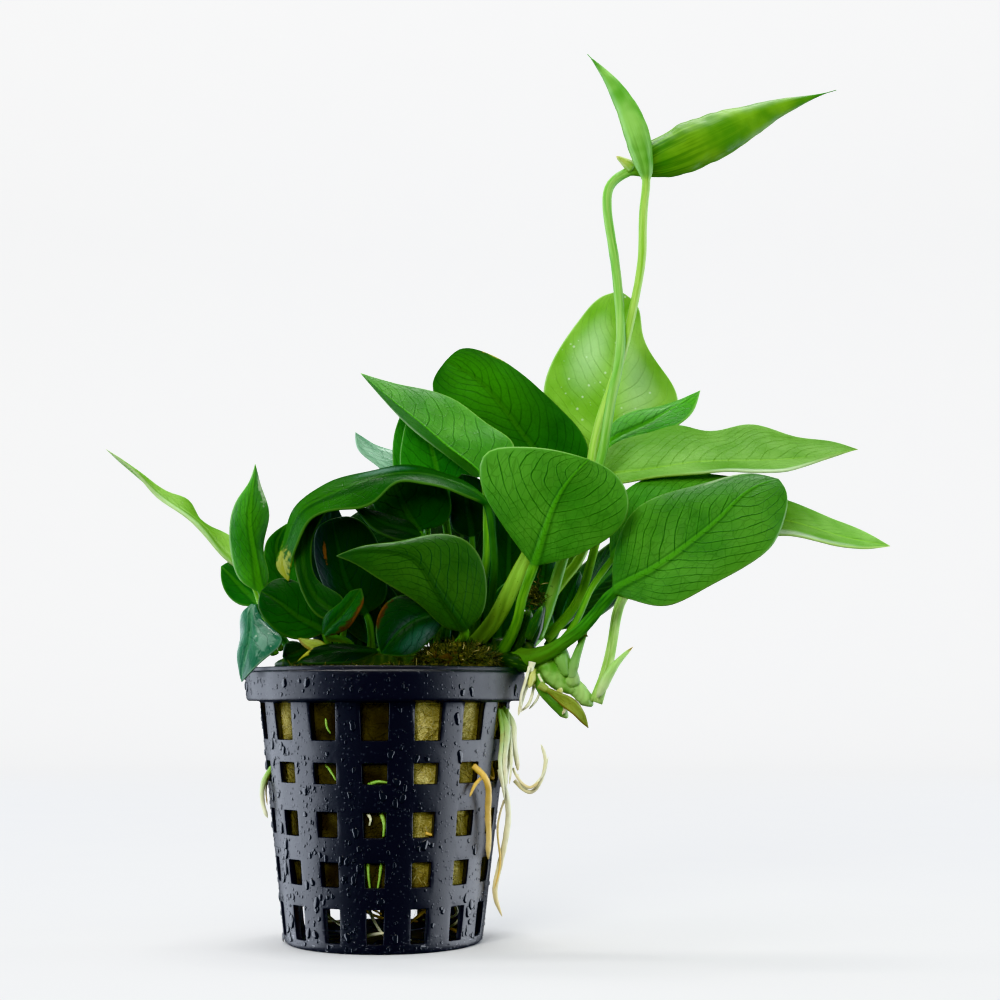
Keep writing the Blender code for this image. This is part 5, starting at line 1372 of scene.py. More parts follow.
LEAVES = measured("""
leaf_far_left 0.3 0.3 2 0.6 14 upper
-22 6 56.5, -24.5 7 63.5
-28 7 72, -33 6.5 76.5, -38 6 82, -43 5.5 85.5, -47.5 5 89, -56.5 4 96.5
-31 4 73.5, -36 3 78.5, -41.5 3 83.5, -46.5 4 87.5, -51.5 4 92.5
-29.5 10 77, -33 11 80, -37 11 82, -39.5 10 86, -43.5 8 87.5, -48 6 90.5

leaf_upright_left 0.5 0.2 2 0.6 10 upper
-20.5 1 56.5, -22.5 -3 62
-25 -6 68, -26.5 -8 76, -27.5 -8.5 82.5, -27 -8 88.5, -26.5 -6 93.5
-29 -6.5 70, -31 -7 75, -31.5 -7.5 81, -30 -7.5 86.5, -28 -7 89.5
-23.5 -5 70.5, -24.5 -5.5 76, -24 -5.5 80, -23.5 -5.5 83.5, -25 -5.5 88.5

leaf_left_low 0.3 0.2 1 0.6 5 upper
-22 10 55.5, -24 12 61.5
-25.5 13 65.5, -28 14 68, -31 14.5 71, -33 15 73
-28 13 65, -31.5 14 67, -33 14.5 70.5
-25.5 14 69.5, -28 15 72.5, -31 15.5 74

leaf_over_rim 0.4 0.3 2 0.6 6 upper
-19 -3 56.5, -23.5 -6 62.5
-26.5 -9 65, -27 -11.5 60.5, -27.5 -13.5 56, -28.5 -14 50
-24.5 -9.5 62.5, -20.5 -12 58, -23.5 -14.5 55, -26.5 -15.5 52
-28.5 -9.5 64, -29 -11 59, -29.5 -13 55

leaf_oval_left 0.5 0.2 1 0.6 5 upper
-12 -3 55.5, -11.5 -8 57.5
-12.5 -11 60, -17 -12 62.5, -21 -12.5 65.5, -25 -12.5 68
-15.5 -12.5 58.5, -20 -13 59, -24 -13.5 62, -25.5 -13 65
-13.5 -9.5 65.5, -17 -10 69.5, -22 -11 70.5

leaf_behind_curl 0.3 0.2 1 0.6 6 upper
-16 5 55.5, -17.5 7 62.5
-19 8 66, -21 9 72.5, -22 10 77, -20 11 81.5
-23 8 68, -24.5 9 74, -24 10 78
-15.5 9 69, -15.5 10 75, -17 11 80

leaf_arching 0.3 0.3 4 0.8 17 upper
20.5 -1 58.5, 21 -4.5 66, 21.5 -10 74, 21 -13 81
20 -13.5 85.5, 14 -14 89.5, 6.5 -14 91.5, -0.5 -14 91, -7.5 -14 89, -13 -13.5 86.5, -17.5 -13 83.5,
-19.5 -12.5 79, -20.5 -12 74, -19.5 -12 70
14.5 -16.5 87.5, 7.5 -17 89.5, 2.5 -17 90, -2.5 -17.5 85.8, -7.5 -17 84.6, -11.5 -16 83.8, -15.5 -15.5 82,
-18 -15 77, -19 -13.5 73
17.5 -11 88.5, 10.5 -9.5 92, 2.5 -9 93, -4.5 -9 92, -10.5 -9 90, -15 -9.5 88, -18.5 -10 85, -20.5 -10 78,
-22 -11 73

leaf_curl_left 0.2 0.2 2 0.6 11 upper
-9.5 0 55.5, -8.5 -9 59.5
-9.5 -14 63, -13.5 -14.5 66, -16.5 -13.2 72, -16.5 -10.5 78, -15 -9 83.5, -10 -8 87.5
-12.5 -15.5 62.5, -16.5 -15.5 67, -18.5 -12.5 74, -18 -9.5 80, -16 -8 84.5
-8.5 -13 66, -13 -12.8 69.5, -15 -11.5 75, -14.5 -10 79, -12 -8.5 84

leaf_inner_dark 0.5 0.2 1 0.6 8 upper
-3 -1 55.5, -3 -3 59.5
-4 -4 63.5, -7.5 -5.5 69, -9.5 -6 76, -11 -5.5 82.5
-8 -4 64, -13 -4 70, -14.5 -4.5 76, -13.5 -5 81
-0.5 -4 66, -0.5 -4.5 73, -3 -5 80, -7.5 -5.5 83

leaf_brown_margin 0.3 0.2 2 0.6 5 upper
-6 -3 55.5, -9 -12 58.5
-12 -18 59.5, -8.5 -20 63.5, -5 -20 68.5
-12.5 -18.5 62.5, -9.5 -19.5 65.5, -7 -19.5 68
-8.5 -20 60, -6 -21.5 62.5, -4.5 -21 66

leaf_low_front 0.3 0.2 1 0.6 6 upper
2 -2 55.5, 0.5 -8 56
-2 -15 56, -9 -19 56, -17.5 -21 54
-5.5 -18 54, -10.5 -21 53.5, -15 -22 53.5
-5 -14 57, -10.5 -17 57.5, -15 -20 56.5

leaf_low_left 0.2 0.1 1 0.6 5 upper
-15.5 1 55.5, -15 -2 56.5
-16 -6 56.5, -18 -7 55.5, -20.5 -7.5 55
-17.5 -7 54, -19 -7.5 53.5
-17.5 -6.5 58, -19.5 -7 58

leaf_front_left 0.8 0.2 2 0.8 12 under
13 -2 56.5, 15 -11 58.5
15.5 -16 60.5, 12.5 -19 65, 9 -21 70, 5.5 -22 74.5, 1 -22.5 76, -4.5 -22.5 76, -10 -21.5 75
12.5 -16 60.5, 7.5 -18 64.5, 2.5 -20 68, -2.5 -21 71, -6.5 -21.5 73.5
19 -18 63.5, 20 -19 68.5, 19 -19.5 74, 16 -20 78, 10.5 -20.5 79.5, 2.5 -21.5 78, -5 -22 77

leaf_round_low 0.6 0.2 2 0.6 6 upper
10 -1 57.5, 11 -9 62
11 -14 63.5, 6 -17 62.5, 2 -19 59.5, -1 -20 55.5
11 -14.5 61, 8.5 -16.5 58, 5.5 -18.5 55.5, 2 -20 55
7.5 -15 66.5, 2 -17 67, -1.5 -19 63.5, -2 -20 59

leaf_upper_left 0.5 0.2 2 0.8 12 under
17 0 57.5, 18.5 -4 66, 20 -7 76, 20 -8.5 84
19 -10 91.5, 13.5 -11 96, 7.5 -11 101, 2 -10.5 105.5, -5.5 -9 112
17.5 -6 91, 12 -4 95, 5.5 -4 100, 0 -6 105.5
23 -7 92, 25.5 -5 97, 20.5 -4 101.5, 14.5 -4 106, 8.5 -5 108.5, 1.5 -7 110

leaf_top_dark 0.8 0.3 1 1.3 14 upper
18 -6 58, 22 -9.5 63, 25 -9 69, 28.5 -4 76, 31.5 1 83
34 3 89.5, 29.5 5 96.5, 23.5 7 104.5, 17.5 9 111, 11.5 11 114.5
26.5 2 89.5, 18.5 3 94.5, 13 5 100.5, 10 7.5 106, 9 9.5 110
39 4 90.5, 40.5 5.5 95.5, 38.5 7 100.5, 33.5 8.5 106, 26.5 10 112.5, 19.5 11 116.5, 14.5 11.5 117

leaf_mid_left 0.4 0.2 1 0.8 8 upper
11.5 3 58.5, 13 4 68, 12.5 3 77
11 2 86.5, 9.5 2 94.5, 7.5 2 101.5, 6.5 2.5 106.5
5.5 1 87, 2.5 1 93.5, 3 1.5 99, 4.5 2 104
17 1 88.5, 16.5 1 95.5, 12 1.5 102.5

leaf_mid_left_back 0.3 0.2 1 0.6 8 upper
7.5 7 57.5, 9 8 66, 8.5 7 76
7.5 6 85.5, 5.5 5.5 94, 4 5.5 100.5, 3.5 6 105.5
3 5.5 87.5, 1 5 94, 1.5 5.5 100.5
10 6 88.5, 9 5.5 94.5, 6.5 5.5 101.5

leaf_pale_tip 0.2 0.2 2 0.6 7 under
3 8 56.5, 5.5 11 66, 7.5 12 78
7.5 13 89, 1.5 13.5 93.5, -3 14 96.5, -6.5 14 100
3 12 89, -2.5 12 93.5, -6 13 96.5
7.5 15 94, 1.5 16 96, -3.5 15.5 98

leaf_mid_green 0.4 0.2 1 0.6 5 upper
7.5 -1 58.5, 8.5 -3 68, 8 -4 75
6.5 -5 80, 4 -6 84, 2 -6 88.5, 0 -5 93
2 -5 82, -2.5 -5 84.5, -2 -5 89.5
12 -5 82, 12.5 -5.5 87.5, 7.5 -5 92.5

leaf_dark_strip 0.2 0.2 2 0.6 5 upper
10 1 57.5, 10.5 -4 68, 9 -9.5 75
6.5 -12 79, 1 -13 81, -7 -12 85.5
2.5 -14 78, -3.5 -14 81
5 -10.5 81.5, -1 -10.5 83.5

leaf_dark_inside 0.3 0.1 1 0.6 5 upper
15 1 58.5, 16.5 1 66, 17 0 74
17 -2 79, 16 -2 85.5, 15 -1.5 91.5
13.5 -2 80, 12.5 -2 84.5, 13 -1.5 89.5
21 -2 82, 21 -2 86.5, 18.5 -1.5 90.5

leaf_front_broad 0.7 0.2 2 0.9 9 under
23 -5 56, 26 -10 62, 27 -13 66.5
29.5 -16 73.5, 31.5 -19 80, 34 -21 86.5, 37 -22.5 91, 40.5 -23 94.5
25 -17 78.5, 20.5 -18 85.5, 18.5 -18.5 91, 19.5 -19.5 95.5, 25 -21 97, 33 -22.5 96.5
36 -18 74.5, 43.5 -19 78, 48 -20 83, 48 -20.5 88, 44.5 -21.5 92.5

leaf_front_right 0.9 0.2 2 1 15 under
25.4 -3.6 55, 28.6 -7 54.8, 34.6 -10 57.4, 40.6 -12 62.4
45.5 -14 68, 52.5 -17 72, 60.5 -19 77.5, 67 -20 83, 71.5 -19.5 87.5, 78.5 -17 90.5
45 -13 72, 46 -13 78, 49.5 -13.5 84, 57 -14.5 88, 64.5 -15 90, 72.5 -15.5 91.5
49.5 -17 66, 55.5 -20 65, 62.5 -22 68, 71 -22.5 72.5, 76.5 -22 76.5, 79.5 -20 82.5, 80 -18.5 88

leaf_right_behind 0.4 0.2 1 0.6 12 under
33.5 -5 56.5, 38 -6 62.5, 40.5 -6 68
45 -6.5 74.5, 51.5 -8 83, 61.5 -8 88, 72.5 -7 90.5
44.5 -5 80, 47 -4.5 87.5, 53.5 -5 91, 63.5 -5.5 91.5
51.5 -9 77, 60.5 -11 82, 68.5 -10 86

leaf_long_right 0.6 0.2 3 0.9 17 upper
31.5 2 58.5, 38 1.5 66, 41 0.5 75, 42.5 0 83
43 -1 90, 50.5 -2 92, 60.5 -3 93.5, 72 -3 94, 83 -2 94.5, 94.5 0 96.5
42.5 3 94.5, 46.5 6 98, 53 8 100, 59 9 101.5, 65 8 100, 73 8 101.5, 82 6 99, 89 3 98
47 -4 89.5, 54.5 -8 91, 62.5 -9.5 91.5, 71.5 -9.5 92, 80 -8 92, 88 -4 94.5

leaf_right_low 0.4 0.2 2 1 17 upper
41.5 -6 46, 43.5 -6 52, 45 -6 58.5, 46.5 -6 65.5
49.5 -6 70, 58.5 -6 77, 70.5 -5 82, 81.5 -3 81.5, 91.5 -1 78.5, 100.5 1 77
49.5 -3 75, 58.5 0 84, 70.5 2 88, 81 3 86, 88.5 3 82.5, 95 2 80
55.5 -9 70.5, 66.5 -11 76, 79.5 -9 79, 87.5 -6 77.5, 95 -3 76.5

leaf_small_right 0.3 0.2 2 0.6 9 upper
28 3 57.5, 34 6.5 66, 39.5 9.5 77, 42 11 87.5
44 11.5 97, 51 12.5 101, 57 13 104.5, 63 12 108.5
44.5 13.5 101, 51 15.5 104.5, 57.5 15 106
50 10.5 97, 56.5 10.5 100, 61 11 103.5

leaf_tall_light 0.6 0.3 1 0.9 15 upper
25 4 57.5, 30 8 65, 36.5 12 74.5, 40.5 13.5 84
42.5 14 92.5, 44 16 100.5, 45 18.5 110.5, 46.5 20.5 121, 47 21 129
36.5 15 96, 32 15.5 103, 31.5 16.5 109.5, 34.5 18 117, 39 19.5 123.5, 43.5 20.5 128
49.5 17 94.5, 56.5 19 100.5, 58.5 19.5 106.5, 55 19 113.5, 51.5 19.5 120.5, 50.5 20.5 126

leaf_back_left 0.6 0.3 2 0.8 10 under
0 9 56.5, -1.5 13 61.5
-3 16 66, -4.5 20 74, -3 24 82, -0.5 26 86.5
-11 17 66.5, -13.5 20 74, -8.5 23 82
5.5 17 66, 7.5 20 74, 4.5 23 82.5

leaf_back_middle 0.6 0.3 2 0.8 12 under
12.5 7 57.5, 13.5 11 62
13.5 14 66, 14.5 19 74, 15.5 24 84, 16.5 28 92.5
7.5 15 68, 6 19 77, 9 24 87.5
19.5 15 68, 19.5 19 77, 20 24 87.5

leaf_back_right 0.6 0.3 2 0.8 14 under
28 6 56.5, 29.5 11 58
32 14 60.5, 38.5 18 66, 46.5 24 74, 55.5 30 82
32.5 14 66, 38.5 19 73, 48.5 25 80
39.5 16 61.5, 47.5 22 67, 53.5 28 74
""")
BRACTS = measured("""
bract_left 0.2 0.2 1 0.5 5 under
-9 -13.5 56
-11.5 -15 56.5, -14 -16 57.5, -17.5 -15.5 58.5
-13 -16.5 56, -15.5 -16.5 56.5
-13 -15 58, -15.5 -14.5 58.5

bract_right 0.2 0.2 2 0.5 5 under
30.5 -11 49.5
32 -11.5 48.5, 35.5 -12 47, 38.5 -12 44.5, 40 -11.5 41
34.5 -11.5 48, 38 -11.5 46
34 -12 46, 37 -12.5 43.5
""")
print("leaves:", len(LEAVES), "bracts:", len(BRACTS))

# %% [markdown]
# ### Leaf colours
#
# Seven kinds of leaf can be told apart by age and light: young and pale ones are yellow-green and nearly even,
# the pale ones' whiter tones partly a painted sheen and painted light through a backlit blade; fresh ones mid
# green, grown ones darker, old ones low in the crown nearly black, partly age and partly painted shade; a few
# bluish, a painted sheen; and dried sheaths straw-coloured. Each kind is a set of tones, and single leaves
# depart from it where they carry a blemish, or a painted highlight, sheen or shade of their own.

# %% Kinds of leaf
# The usual foot tone is dark: painted shade where the stalks crowd into the crown.
USUAL = dict(
    shine=0.3, tone_and_shade_gain=1.0, foot=((0.02, 0.085, 0.008), 0.65), dots=0.5, glint_specks=0.0, painted_light=(), blemishes=(),
    uneven=0.22, sheath=0.5, sheath_reach=4.5,
)
KINDS = {
    "young": dict(
        dark=(0.12, 0.34, 0.040), light=(0.25, 0.52, 0.11),
        under=((0.14, 0.38, 0.03), (0.24, 0.52, 0.06)),
        vein_tone=(0.055, 0.22, 0.008), vein=0.30, rib=(0.26, 0.55, 0.07), rib_share=0.55,
        rim=(0.42, 0.66, 0.16), rim_share=0.5, rough=0.42, coat=0.0, shine=0.12,
        stalk_tones=((0.13, 0.36, 0.02), (0.32, 0.60, 0.10)),
    ),
    # Whitish yellow-green: a pale blade's own tone, partly painted sheen and painted light through the blade.
    "pale": dict(
        dark=(0.15, 0.41, 0.035), light=(0.30, 0.60, 0.10),
        under=((0.20, 0.42, 0.09), (0.32, 0.56, 0.18)),
        vein_tone=(0.09, 0.28, 0.03), vein=0.16, rib=(0.34, 0.60, 0.16), rib_share=0.5,
        rim=(0.50, 0.70, 0.30), rim_share=0.5, rough=0.40, coat=0.0, shine=0.15,
        stalk_tones=((0.10, 0.30, 0.02), (0.24, 0.50, 0.08)),
    ),
    "fresh": dict(
        dark=(0.026, 0.16, 0.013), light=(0.068, 0.30, 0.026),
        under=((0.036, 0.155, 0.019), (0.080, 0.25, 0.036)),
        vein_tone=(0.010, 0.065, 0.006), vein=0.75, rib=(0.055, 0.26, 0.014), rib_share=0.7,
        rim=(0.20, 0.42, 0.09), rim_share=0.5, rough=0.40, coat=0.06,
        stalk_tones=((0.045, 0.20, 0.010), (0.16, 0.42, 0.035)),
    ),
    "grown": dict(
        dark=(0.007, 0.075, 0.006), light=(0.024, 0.17, 0.014),
        under=((0.018, 0.12, 0.009), (0.045, 0.20, 0.018)),
        vein_tone=(0.003, 0.030, 0.002), vein=0.5, rib=(0.04, 0.20, 0.010), rib_share=0.5,
        rim=(0.14, 0.34, 0.07), rim_share=0.5, rough=0.40, coat=0.02, shine=0.2,
        stalk_tones=((0.03, 0.15, 0.010), (0.09, 0.30, 0.025)),
    ),
    # Near black: the dark of old leaves, and painted shade deep in the crown.
    "old": dict(
        dark=(0.004, 0.020, 0.004), light=(0.011, 0.050, 0.009),
        under=((0.012, 0.07, 0.008), (0.03, 0.12, 0.015)),
        vein_tone=(0.001, 0.010, 0.001), vein=0.5, rib=(0.014, 0.08, 0.008), rib_share=0.5,
        rim=(0.10, 0.24, 0.06), rim_share=0.45, rough=0.38, coat=0.04,
        stalk_tones=((0.015, 0.07, 0.006), (0.05, 0.18, 0.015)),
    ),
    # Bluish grey-green: a painted sheen.
    "bluish": dict(
        dark=(0.020, 0.095, 0.050), light=(0.075, 0.22, 0.13),
        under=((0.10, 0.27, 0.14), (0.22, 0.42, 0.27)),
        vein_tone=(0.012, 0.07, 0.035), vein=0.35, rib=(0.08, 0.24, 0.12), rib_share=0.5,
        rim=(0.26, 0.42, 0.28), rim_share=0.5, rough=0.28, coat=0.25,
        stalk_tones=((0.03, 0.15, 0.03), (0.10, 0.30, 0.06)),
    ),
    "dried": dict(
        dark=(0.13, 0.22, 0.03), light=(0.27, 0.34, 0.06),
        under=((0.15, 0.22, 0.03), (0.30, 0.36, 0.07)),
        vein_tone=(0.10, 0.10, 0.02), vein=0.5, rib=(0.24, 0.32, 0.06), rib_share=0.4,
        rim=(0.16, 0.09, 0.02), rim_share=0.7, rough=0.5, coat=0.05,
        stalk_tones=((0.20, 0.30, 0.05), (0.36, 0.42, 0.12)),
    ),
}
BROWN, AMBER, CREAM = (0.035, 0.014, 0.005), (0.13, 0.05, 0.010), (0.62, 0.75, 0.48)
STRAW, BLACK, PALE_GREEN = (0.40, 0.42, 0.06), (0.01, 0.012, 0.004), (0.30, 0.46, 0.10)
# Colours of painted sheens and glints.
SHEEN, GLINT = (0.52, 0.78, 0.40), (0.80, 0.90, 0.72)
# Near-black underside tones: painted shade on the leaves at the back of the plant.
SHADED_UNDERSIDE = ((0.003, 0.016, 0.002), (0.008, 0.034, 0.004))
# Which kind each leaf is, and its own changes. The gain scales a leaf's tones, for its own colour and for
# painted shade. Painted lights and blemishes are each (share along, share across, reach, spread, colour,
# amount); the painted lights are painted highlights, sheens and shade.
LOOKS = {
    "leaf_far_left": ("pale", dict(tone_and_shade_gain=0.8, rim_share=0.8, painted_light=((0.5, -0.9, 0.5, 0.35, SHEEN, 0.6),))),
    "leaf_upright_left": ("fresh", dict(blemishes=((0.83, 0.75, 0.16, 0.22, CREAM, 0.5),))),
    "leaf_left_low": ("grown", dict()),
    "leaf_over_rim": ("bluish", dict(
        # Its pale blue-green patch is a painted sheen.
        uneven=0.5, glint_specks=0.6, blemishes=((0.4, -0.5, 0.25, 0.3, (0.25, 0.42, 0.33), 0.4),),
    )),
    "leaf_oval_left": ("grown", dict(tone_and_shade_gain=0.42)),
    "leaf_behind_curl": ("grown", dict(tone_and_shade_gain=0.9)),
    "leaf_arching": ("grown", dict(
        tone_and_shade_gain=0.52, shine=0.15, rim_share=0.8, stalk_tones=((0.010, 0.055, 0.006), (0.03, 0.13, 0.015)),
        painted_light=(
            (0.72, 0.2, 0.40, 2.0, (0.055, 0.25, 0.015), 0.3), (0.40, 0.5, 0.12, 0.35, (0.25, 0.42, 0.36), 0.4),
            (0.62, -0.25, 0.34, 0.20, (0.003, 0.030, 0.003), 0.75),
        ),
        blemishes=((0.98, 0.2, 0.10, 1.5, STRAW, 0.6),),
    )),
    "leaf_curl_left": ("grown", dict(tone_and_shade_gain=0.32, rim_share=0.9)),
    "leaf_inner_dark": ("old", dict(tone_and_shade_gain=0.42, blemishes=((0.67, -0.55, 0.08, 0.07, AMBER, 0.95),))),
    "leaf_brown_margin": ("grown", dict(
        tone_and_shade_gain=0.35, blemishes=((0.45, 1.0, 0.42, 0.34, BROWN, 0.95), (0.6, 1.0, 0.3, 0.12, AMBER, 0.5)),
    )),
    "leaf_low_front": ("old", dict(tone_and_shade_gain=0.3, shine=0.12, blemishes=((0.95, 0.9, 0.16, 0.5, STRAW, 0.7),))),
    "leaf_low_left": ("old", dict(tone_and_shade_gain=0.6)),
    "leaf_front_left": ("fresh", dict(
        veins=12, tone_and_shade_gain=0.42, vein=1.0, rim_share=0.8, rib=(0.012, 0.08, 0.005),
        painted_light=((0.78, 1.0, 0.30, 0.25, (0.10, 0.34, 0.03), 0.6),),
    )),
    "leaf_round_low": ("old", dict(
        tone_and_shade_gain=0.65, painted_light=((0.5, -0.6, 0.35, 0.35, (0.06, 0.14, 0.10), 0.45),),
        blemishes=((0.66, 1.0, 0.16, 0.20, BROWN, 0.95), (0.62, 1.0, 0.10, 0.08, AMBER, 0.5)),
    )),
    "leaf_upper_left": ("fresh", dict(
        tone_and_shade_gain=1.2, veins=11, vein=0.6, shine=0.2, rim_share=0.8, painted_light=((0.6, -1.0, 0.45, 0.2, CREAM, 0.6),),
    )),
    "leaf_top_dark": ("grown", dict(
        tone_and_shade_gain=0.54, shine=0.05, coat=0.0, rough=0.5, foot=((0.26, 0.40, 0.07), 0.55), sheath_reach=14,
        painted_light=((0.75, 0.1, 0.5, 1.2, (0.045, 0.26, 0.008), 0.5),),
        blemishes=(
            (0.82, 0.98, 0.015, 0.05, BLACK, 0.9), (0.77, 1.0, 0.07, 0.06, STRAW, 0.8),
        ),
    )),
    "leaf_mid_left": ("grown", dict(tone_and_shade_gain=1.1)),
    "leaf_mid_left_back": ("grown", dict()),
    "leaf_pale_tip": ("bluish", dict()),
    "leaf_mid_green": ("grown", dict(tone_and_shade_gain=0.4, painted_light=((0.6, -0.5, 0.5, 0.7, (0.03, 0.16, 0.01), 0.5),))),
    "leaf_dark_strip": ("old", dict(tone_and_shade_gain=0.4)),
    "leaf_dark_inside": ("old", dict(tone_and_shade_gain=0.35)),
    "leaf_front_broad": ("fresh", dict(tone_and_shade_gain=1.1, veins=11, vein=0.9, shine=0.2)),
    "leaf_front_right": ("fresh", dict(
        tone_and_shade_gain=0.95, veins=13, vein=0.9, shine=0.2, stalk_tones=((0.010, 0.07, 0.005), (0.05, 0.24, 0.02)),
        foot=((0.12, 0.25, 0.03), 0.5), sheath=1.3, sheath_reach=9,
        painted_light=((0.78, -0.93, 0.16, 0.07, CREAM, 0.4),),
    )),
    "leaf_right_behind": ("fresh", dict(tone_and_shade_gain=1.25)),
    "leaf_long_right": ("young", dict(
        tone_and_shade_gain=0.68, shine=0.04, dots=0.8, painted_light=((0.62, 1.0, 0.3, 0.16, GLINT, 0.6),),
    )),
    "leaf_right_low": ("young", dict(
        tone_and_shade_gain=0.9, stalk_tones=((0.22, 0.46, 0.08), (0.50, 0.70, 0.26)), rim_share=0.8, foot=(PALE_GREEN, 0.3),
        painted_light=((0.6, 0.9, 0.3, 0.2, GLINT, 0.5),),
    )),
    "leaf_small_right": ("fresh", dict(tone_and_shade_gain=1.3)),
    "leaf_tall_light": ("pale", dict(
        tone_and_shade_gain=0.85, glint_specks=0.4,
        painted_light=((0.62, -0.45, 0.25, 0.40, SHEEN, 0.5), (0.50, 0.40, 0.30, 0.35, SHEEN, 0.4)),
        blemishes=((1.0, 0.5, 0.012, 2.0, BLACK, 0.9),),
    )),
    "leaf_back_left": ("grown", dict(tone_and_shade_gain=0.5, under=SHADED_UNDERSIDE)),
    "leaf_back_middle": ("fresh", dict(tone_and_shade_gain=0.4, under=SHADED_UNDERSIDE, rim_share=0.3)),
    "leaf_back_right": ("fresh", dict(under=SHADED_UNDERSIDE, rim_share=0.3)),
    "bract_left": ("dried", dict(vein=0.3)),
    "bract_right": ("dried", dict(vein=0.3)),
}


def grow(node, spec):
    """Makes one leaf's skin and finish, and stands it in for its solid."""
    kind, changes = LOOKS[node]
    look = {**USUAL, **spec, **KINDS[kind], **changes}
    name = node.replace("leaf_", "") + "_leaf"
    dress(loft(name, *Leaf(look).skin()), leaf_finish(name, look), node)
    return made[name]


grown = [grow(node, spec) for node, spec in {**LEAVES, **BRACTS}.items()]
print("leaves and bracts:", len(grown), "with", sum(grown), "triangles")

# %% [markdown]
# ### Old leaves in the shade
#
# Between the measured leaves the photo shows nothing but dark green: smaller old leaves stand there, so deep
# in the plant that only pieces of them can be seen. Each is given by its foot, the base and tip of its blade,
# half its breadth and how light it is. Its margins swing out from the line between base and tip by
# breadth * sin(pi t) ^ 0.8.

# %% Inner leaves
INNER_LEAVES = {
    "inner_leaf_left": ("-8 3 55.5, -12.5 4 65, -11 5 86.5", 4.2, 0.2),
    "inner_leaf_low": ("-3 4 55.5, -2.5 3 57.5, -6.5 2 68", 4.0, 0.45),
    "inner_leaf_rim": ("-12 4 55, -13 4 56.5, -10.5 3 64", 3.2, 0.45),
    "inner_leaf_tall": ("23.5 3 56.5, 24.2 5 60.5, 24.6 7 92", 4.8, 1.3),
    "inner_leaf_crown": ("28.5 1 56.5, 29.5 1.5 60, 32 2 77.5", 3.6, 2.0),
    "inner_leaf_foot": ("21 3 56.5, 22 3.5 58, 24 3 70", 3.0, 2.0),
    "inner_leaf_dip": ("-6 5 55.5, -5.6 5 56, -4 5 69.5", 4.4, 0.45),
    "inner_leaf_gap": ("0 4 55, -1 4 55.6, -1.5 5 71", 4.5, 0.4),
    "inner_leaf_moss": ("9 4 55, 11 4 55.6, 12.5 5 69", 5.5, 0.5),
    "inner_leaf_slit": ("19.5 3 56, 19.6 4 58, 20 5 71.5", 2.6, 0.9),
    "inner_leaf_right": ("32 4 57, 34 4.5 60.5, 38.5 5 72", 3.2, 1.7),
}
MARGIN_SHARES = np.array((0.2, 0.5, 0.8))


def inner_spec(text, breadth):
    """The four curves of a small leaf, with both margins turned back a little from the eye."""
    foot, base, tip = np.array(read_points(text))
    along = unit(tip - base)
    side = unit(np.array((along[2], 0, -along[0])))
    back = np.array((0, 1.0, 0))
    t = np.concatenate(((0,), MARGIN_SHARES, (1,)))[:, None]
    midrib = base + t * (tip - base) + 0.8 * back * np.sin(math.pi * t)
    swing = breadth * np.sin(math.pi * t[1:-1]) ** 0.8
    return dict(
        stalk=foot, midrib=midrib,
        left=midrib[1:-1] - swing * side + back, right=midrib[1:-1] + swing * side + 1.4 * back,
        arch=0.3, ripple=(0.3, 2), thick=0.6, veins=7, face="upper",
    )


# The old kind's near-black tones, scaled by each leaf's gain, are painted shade deep in the plant as well as age.
for name, (*measures, tone_and_shade_gain) in INNER_LEAVES.items():
    look = {**USUAL, **inner_spec(*measures), **KINDS["old"], "tone_and_shade_gain": tone_and_shade_gain, "rim_share": 0.3}
    trim(loft(name, *Leaf(look).skin()), leaf_finish(name, look))
print("inner leaves:", sum(made[name] for name in INNER_LEAVES), "triangles")

# %% [markdown]
# ## Flowers
#
# Both flowers are still shut: the hood is one leaf rolled round the spike, so a seam runs along it where the
# outer margin lies over the inner one. In section that is an ellipse whose radius grows just before the seam
# and drops back behind it. The stalk is round with faint ribs, and runs into the hood without a joint.

# %% Flower measurements
FLOWERS = {
    "flower_nodding": dict(
        stalk="29.5 -2 59, 32.5 -3.5 66, 35 -5 74, 39 -6 84.5, 43 -6.6 95, 45 -6.6 106.5, "
              "46.5 -6 113.5, 47 -4.5 122, 46.5 -2.5 130, 45.5 -0.5 138.5, 44.5 0.5 146, "
              "45.5 1 151.5, 49 1 154",
        hood="56 1 157, 67 0.5 161.6, 79 0.5 167, 92 1 171.3",
        side=((-0.35, 0, 0.93), (-0.3, 0, 0.95)),
        half=5.0, depth=0.62, form=(0.75, 1.7), thick=0.95, seam=(-38, -62), lip=0.17,
        hood_tones=((0.060, 0.21, 0.010), (0.17, 0.36, 0.025)), streak=0.85,
        stalk_tones=((0.12, 0.37, 0.04), (0.28, 0.52, 0.12)),
    ),
    "flower_upright": dict(
        stalk="28.5 0.5 58.5, 31 0 64, 35 -1 70, 39 -2 75.5, 40.5 -2.5 84, 41 -3 95, "
              "44 -3.2 106.5, 47 -3.2 115, 49.5 -3.4 125, 51.5 -3.8 136.5, 52 -4.4 147, "
              "52.5 -5 152",
        hood="51.8 -5.4 157, 49 -5.6 166.6, 44.6 -5.4 174.2, 40.6 -5 179",
        side=((1, 0, 0.1), (0.8, 0, 0.55)),
        half=2.55, depth=0.9, form=(0.7, 1.3), thick=0.85, seam=(-50, -20), lip=0.20,
        hood_tones=((0.08, 0.30, 0.025), (0.24, 0.50, 0.10)), streak=0.35,
        stalk_tones=((0.22, 0.47, 0.05), (0.37, 0.59, 0.12)),
    ),
}
STALK_RINGS, HOOD_RINGS, FLOWER_SIDES = 90, 90, 52
SEAM_WIDTH, SEAM_END = 1.3, 0.03


def fullness(form, share):
    """share^first * (1 - share)^second, scaled to reach 1."""
    rise, fall = form
    peak = rise / (rise + fall)
    return (share / peak) ** rise * ((1 - share) / (1 - peak)) ** fall


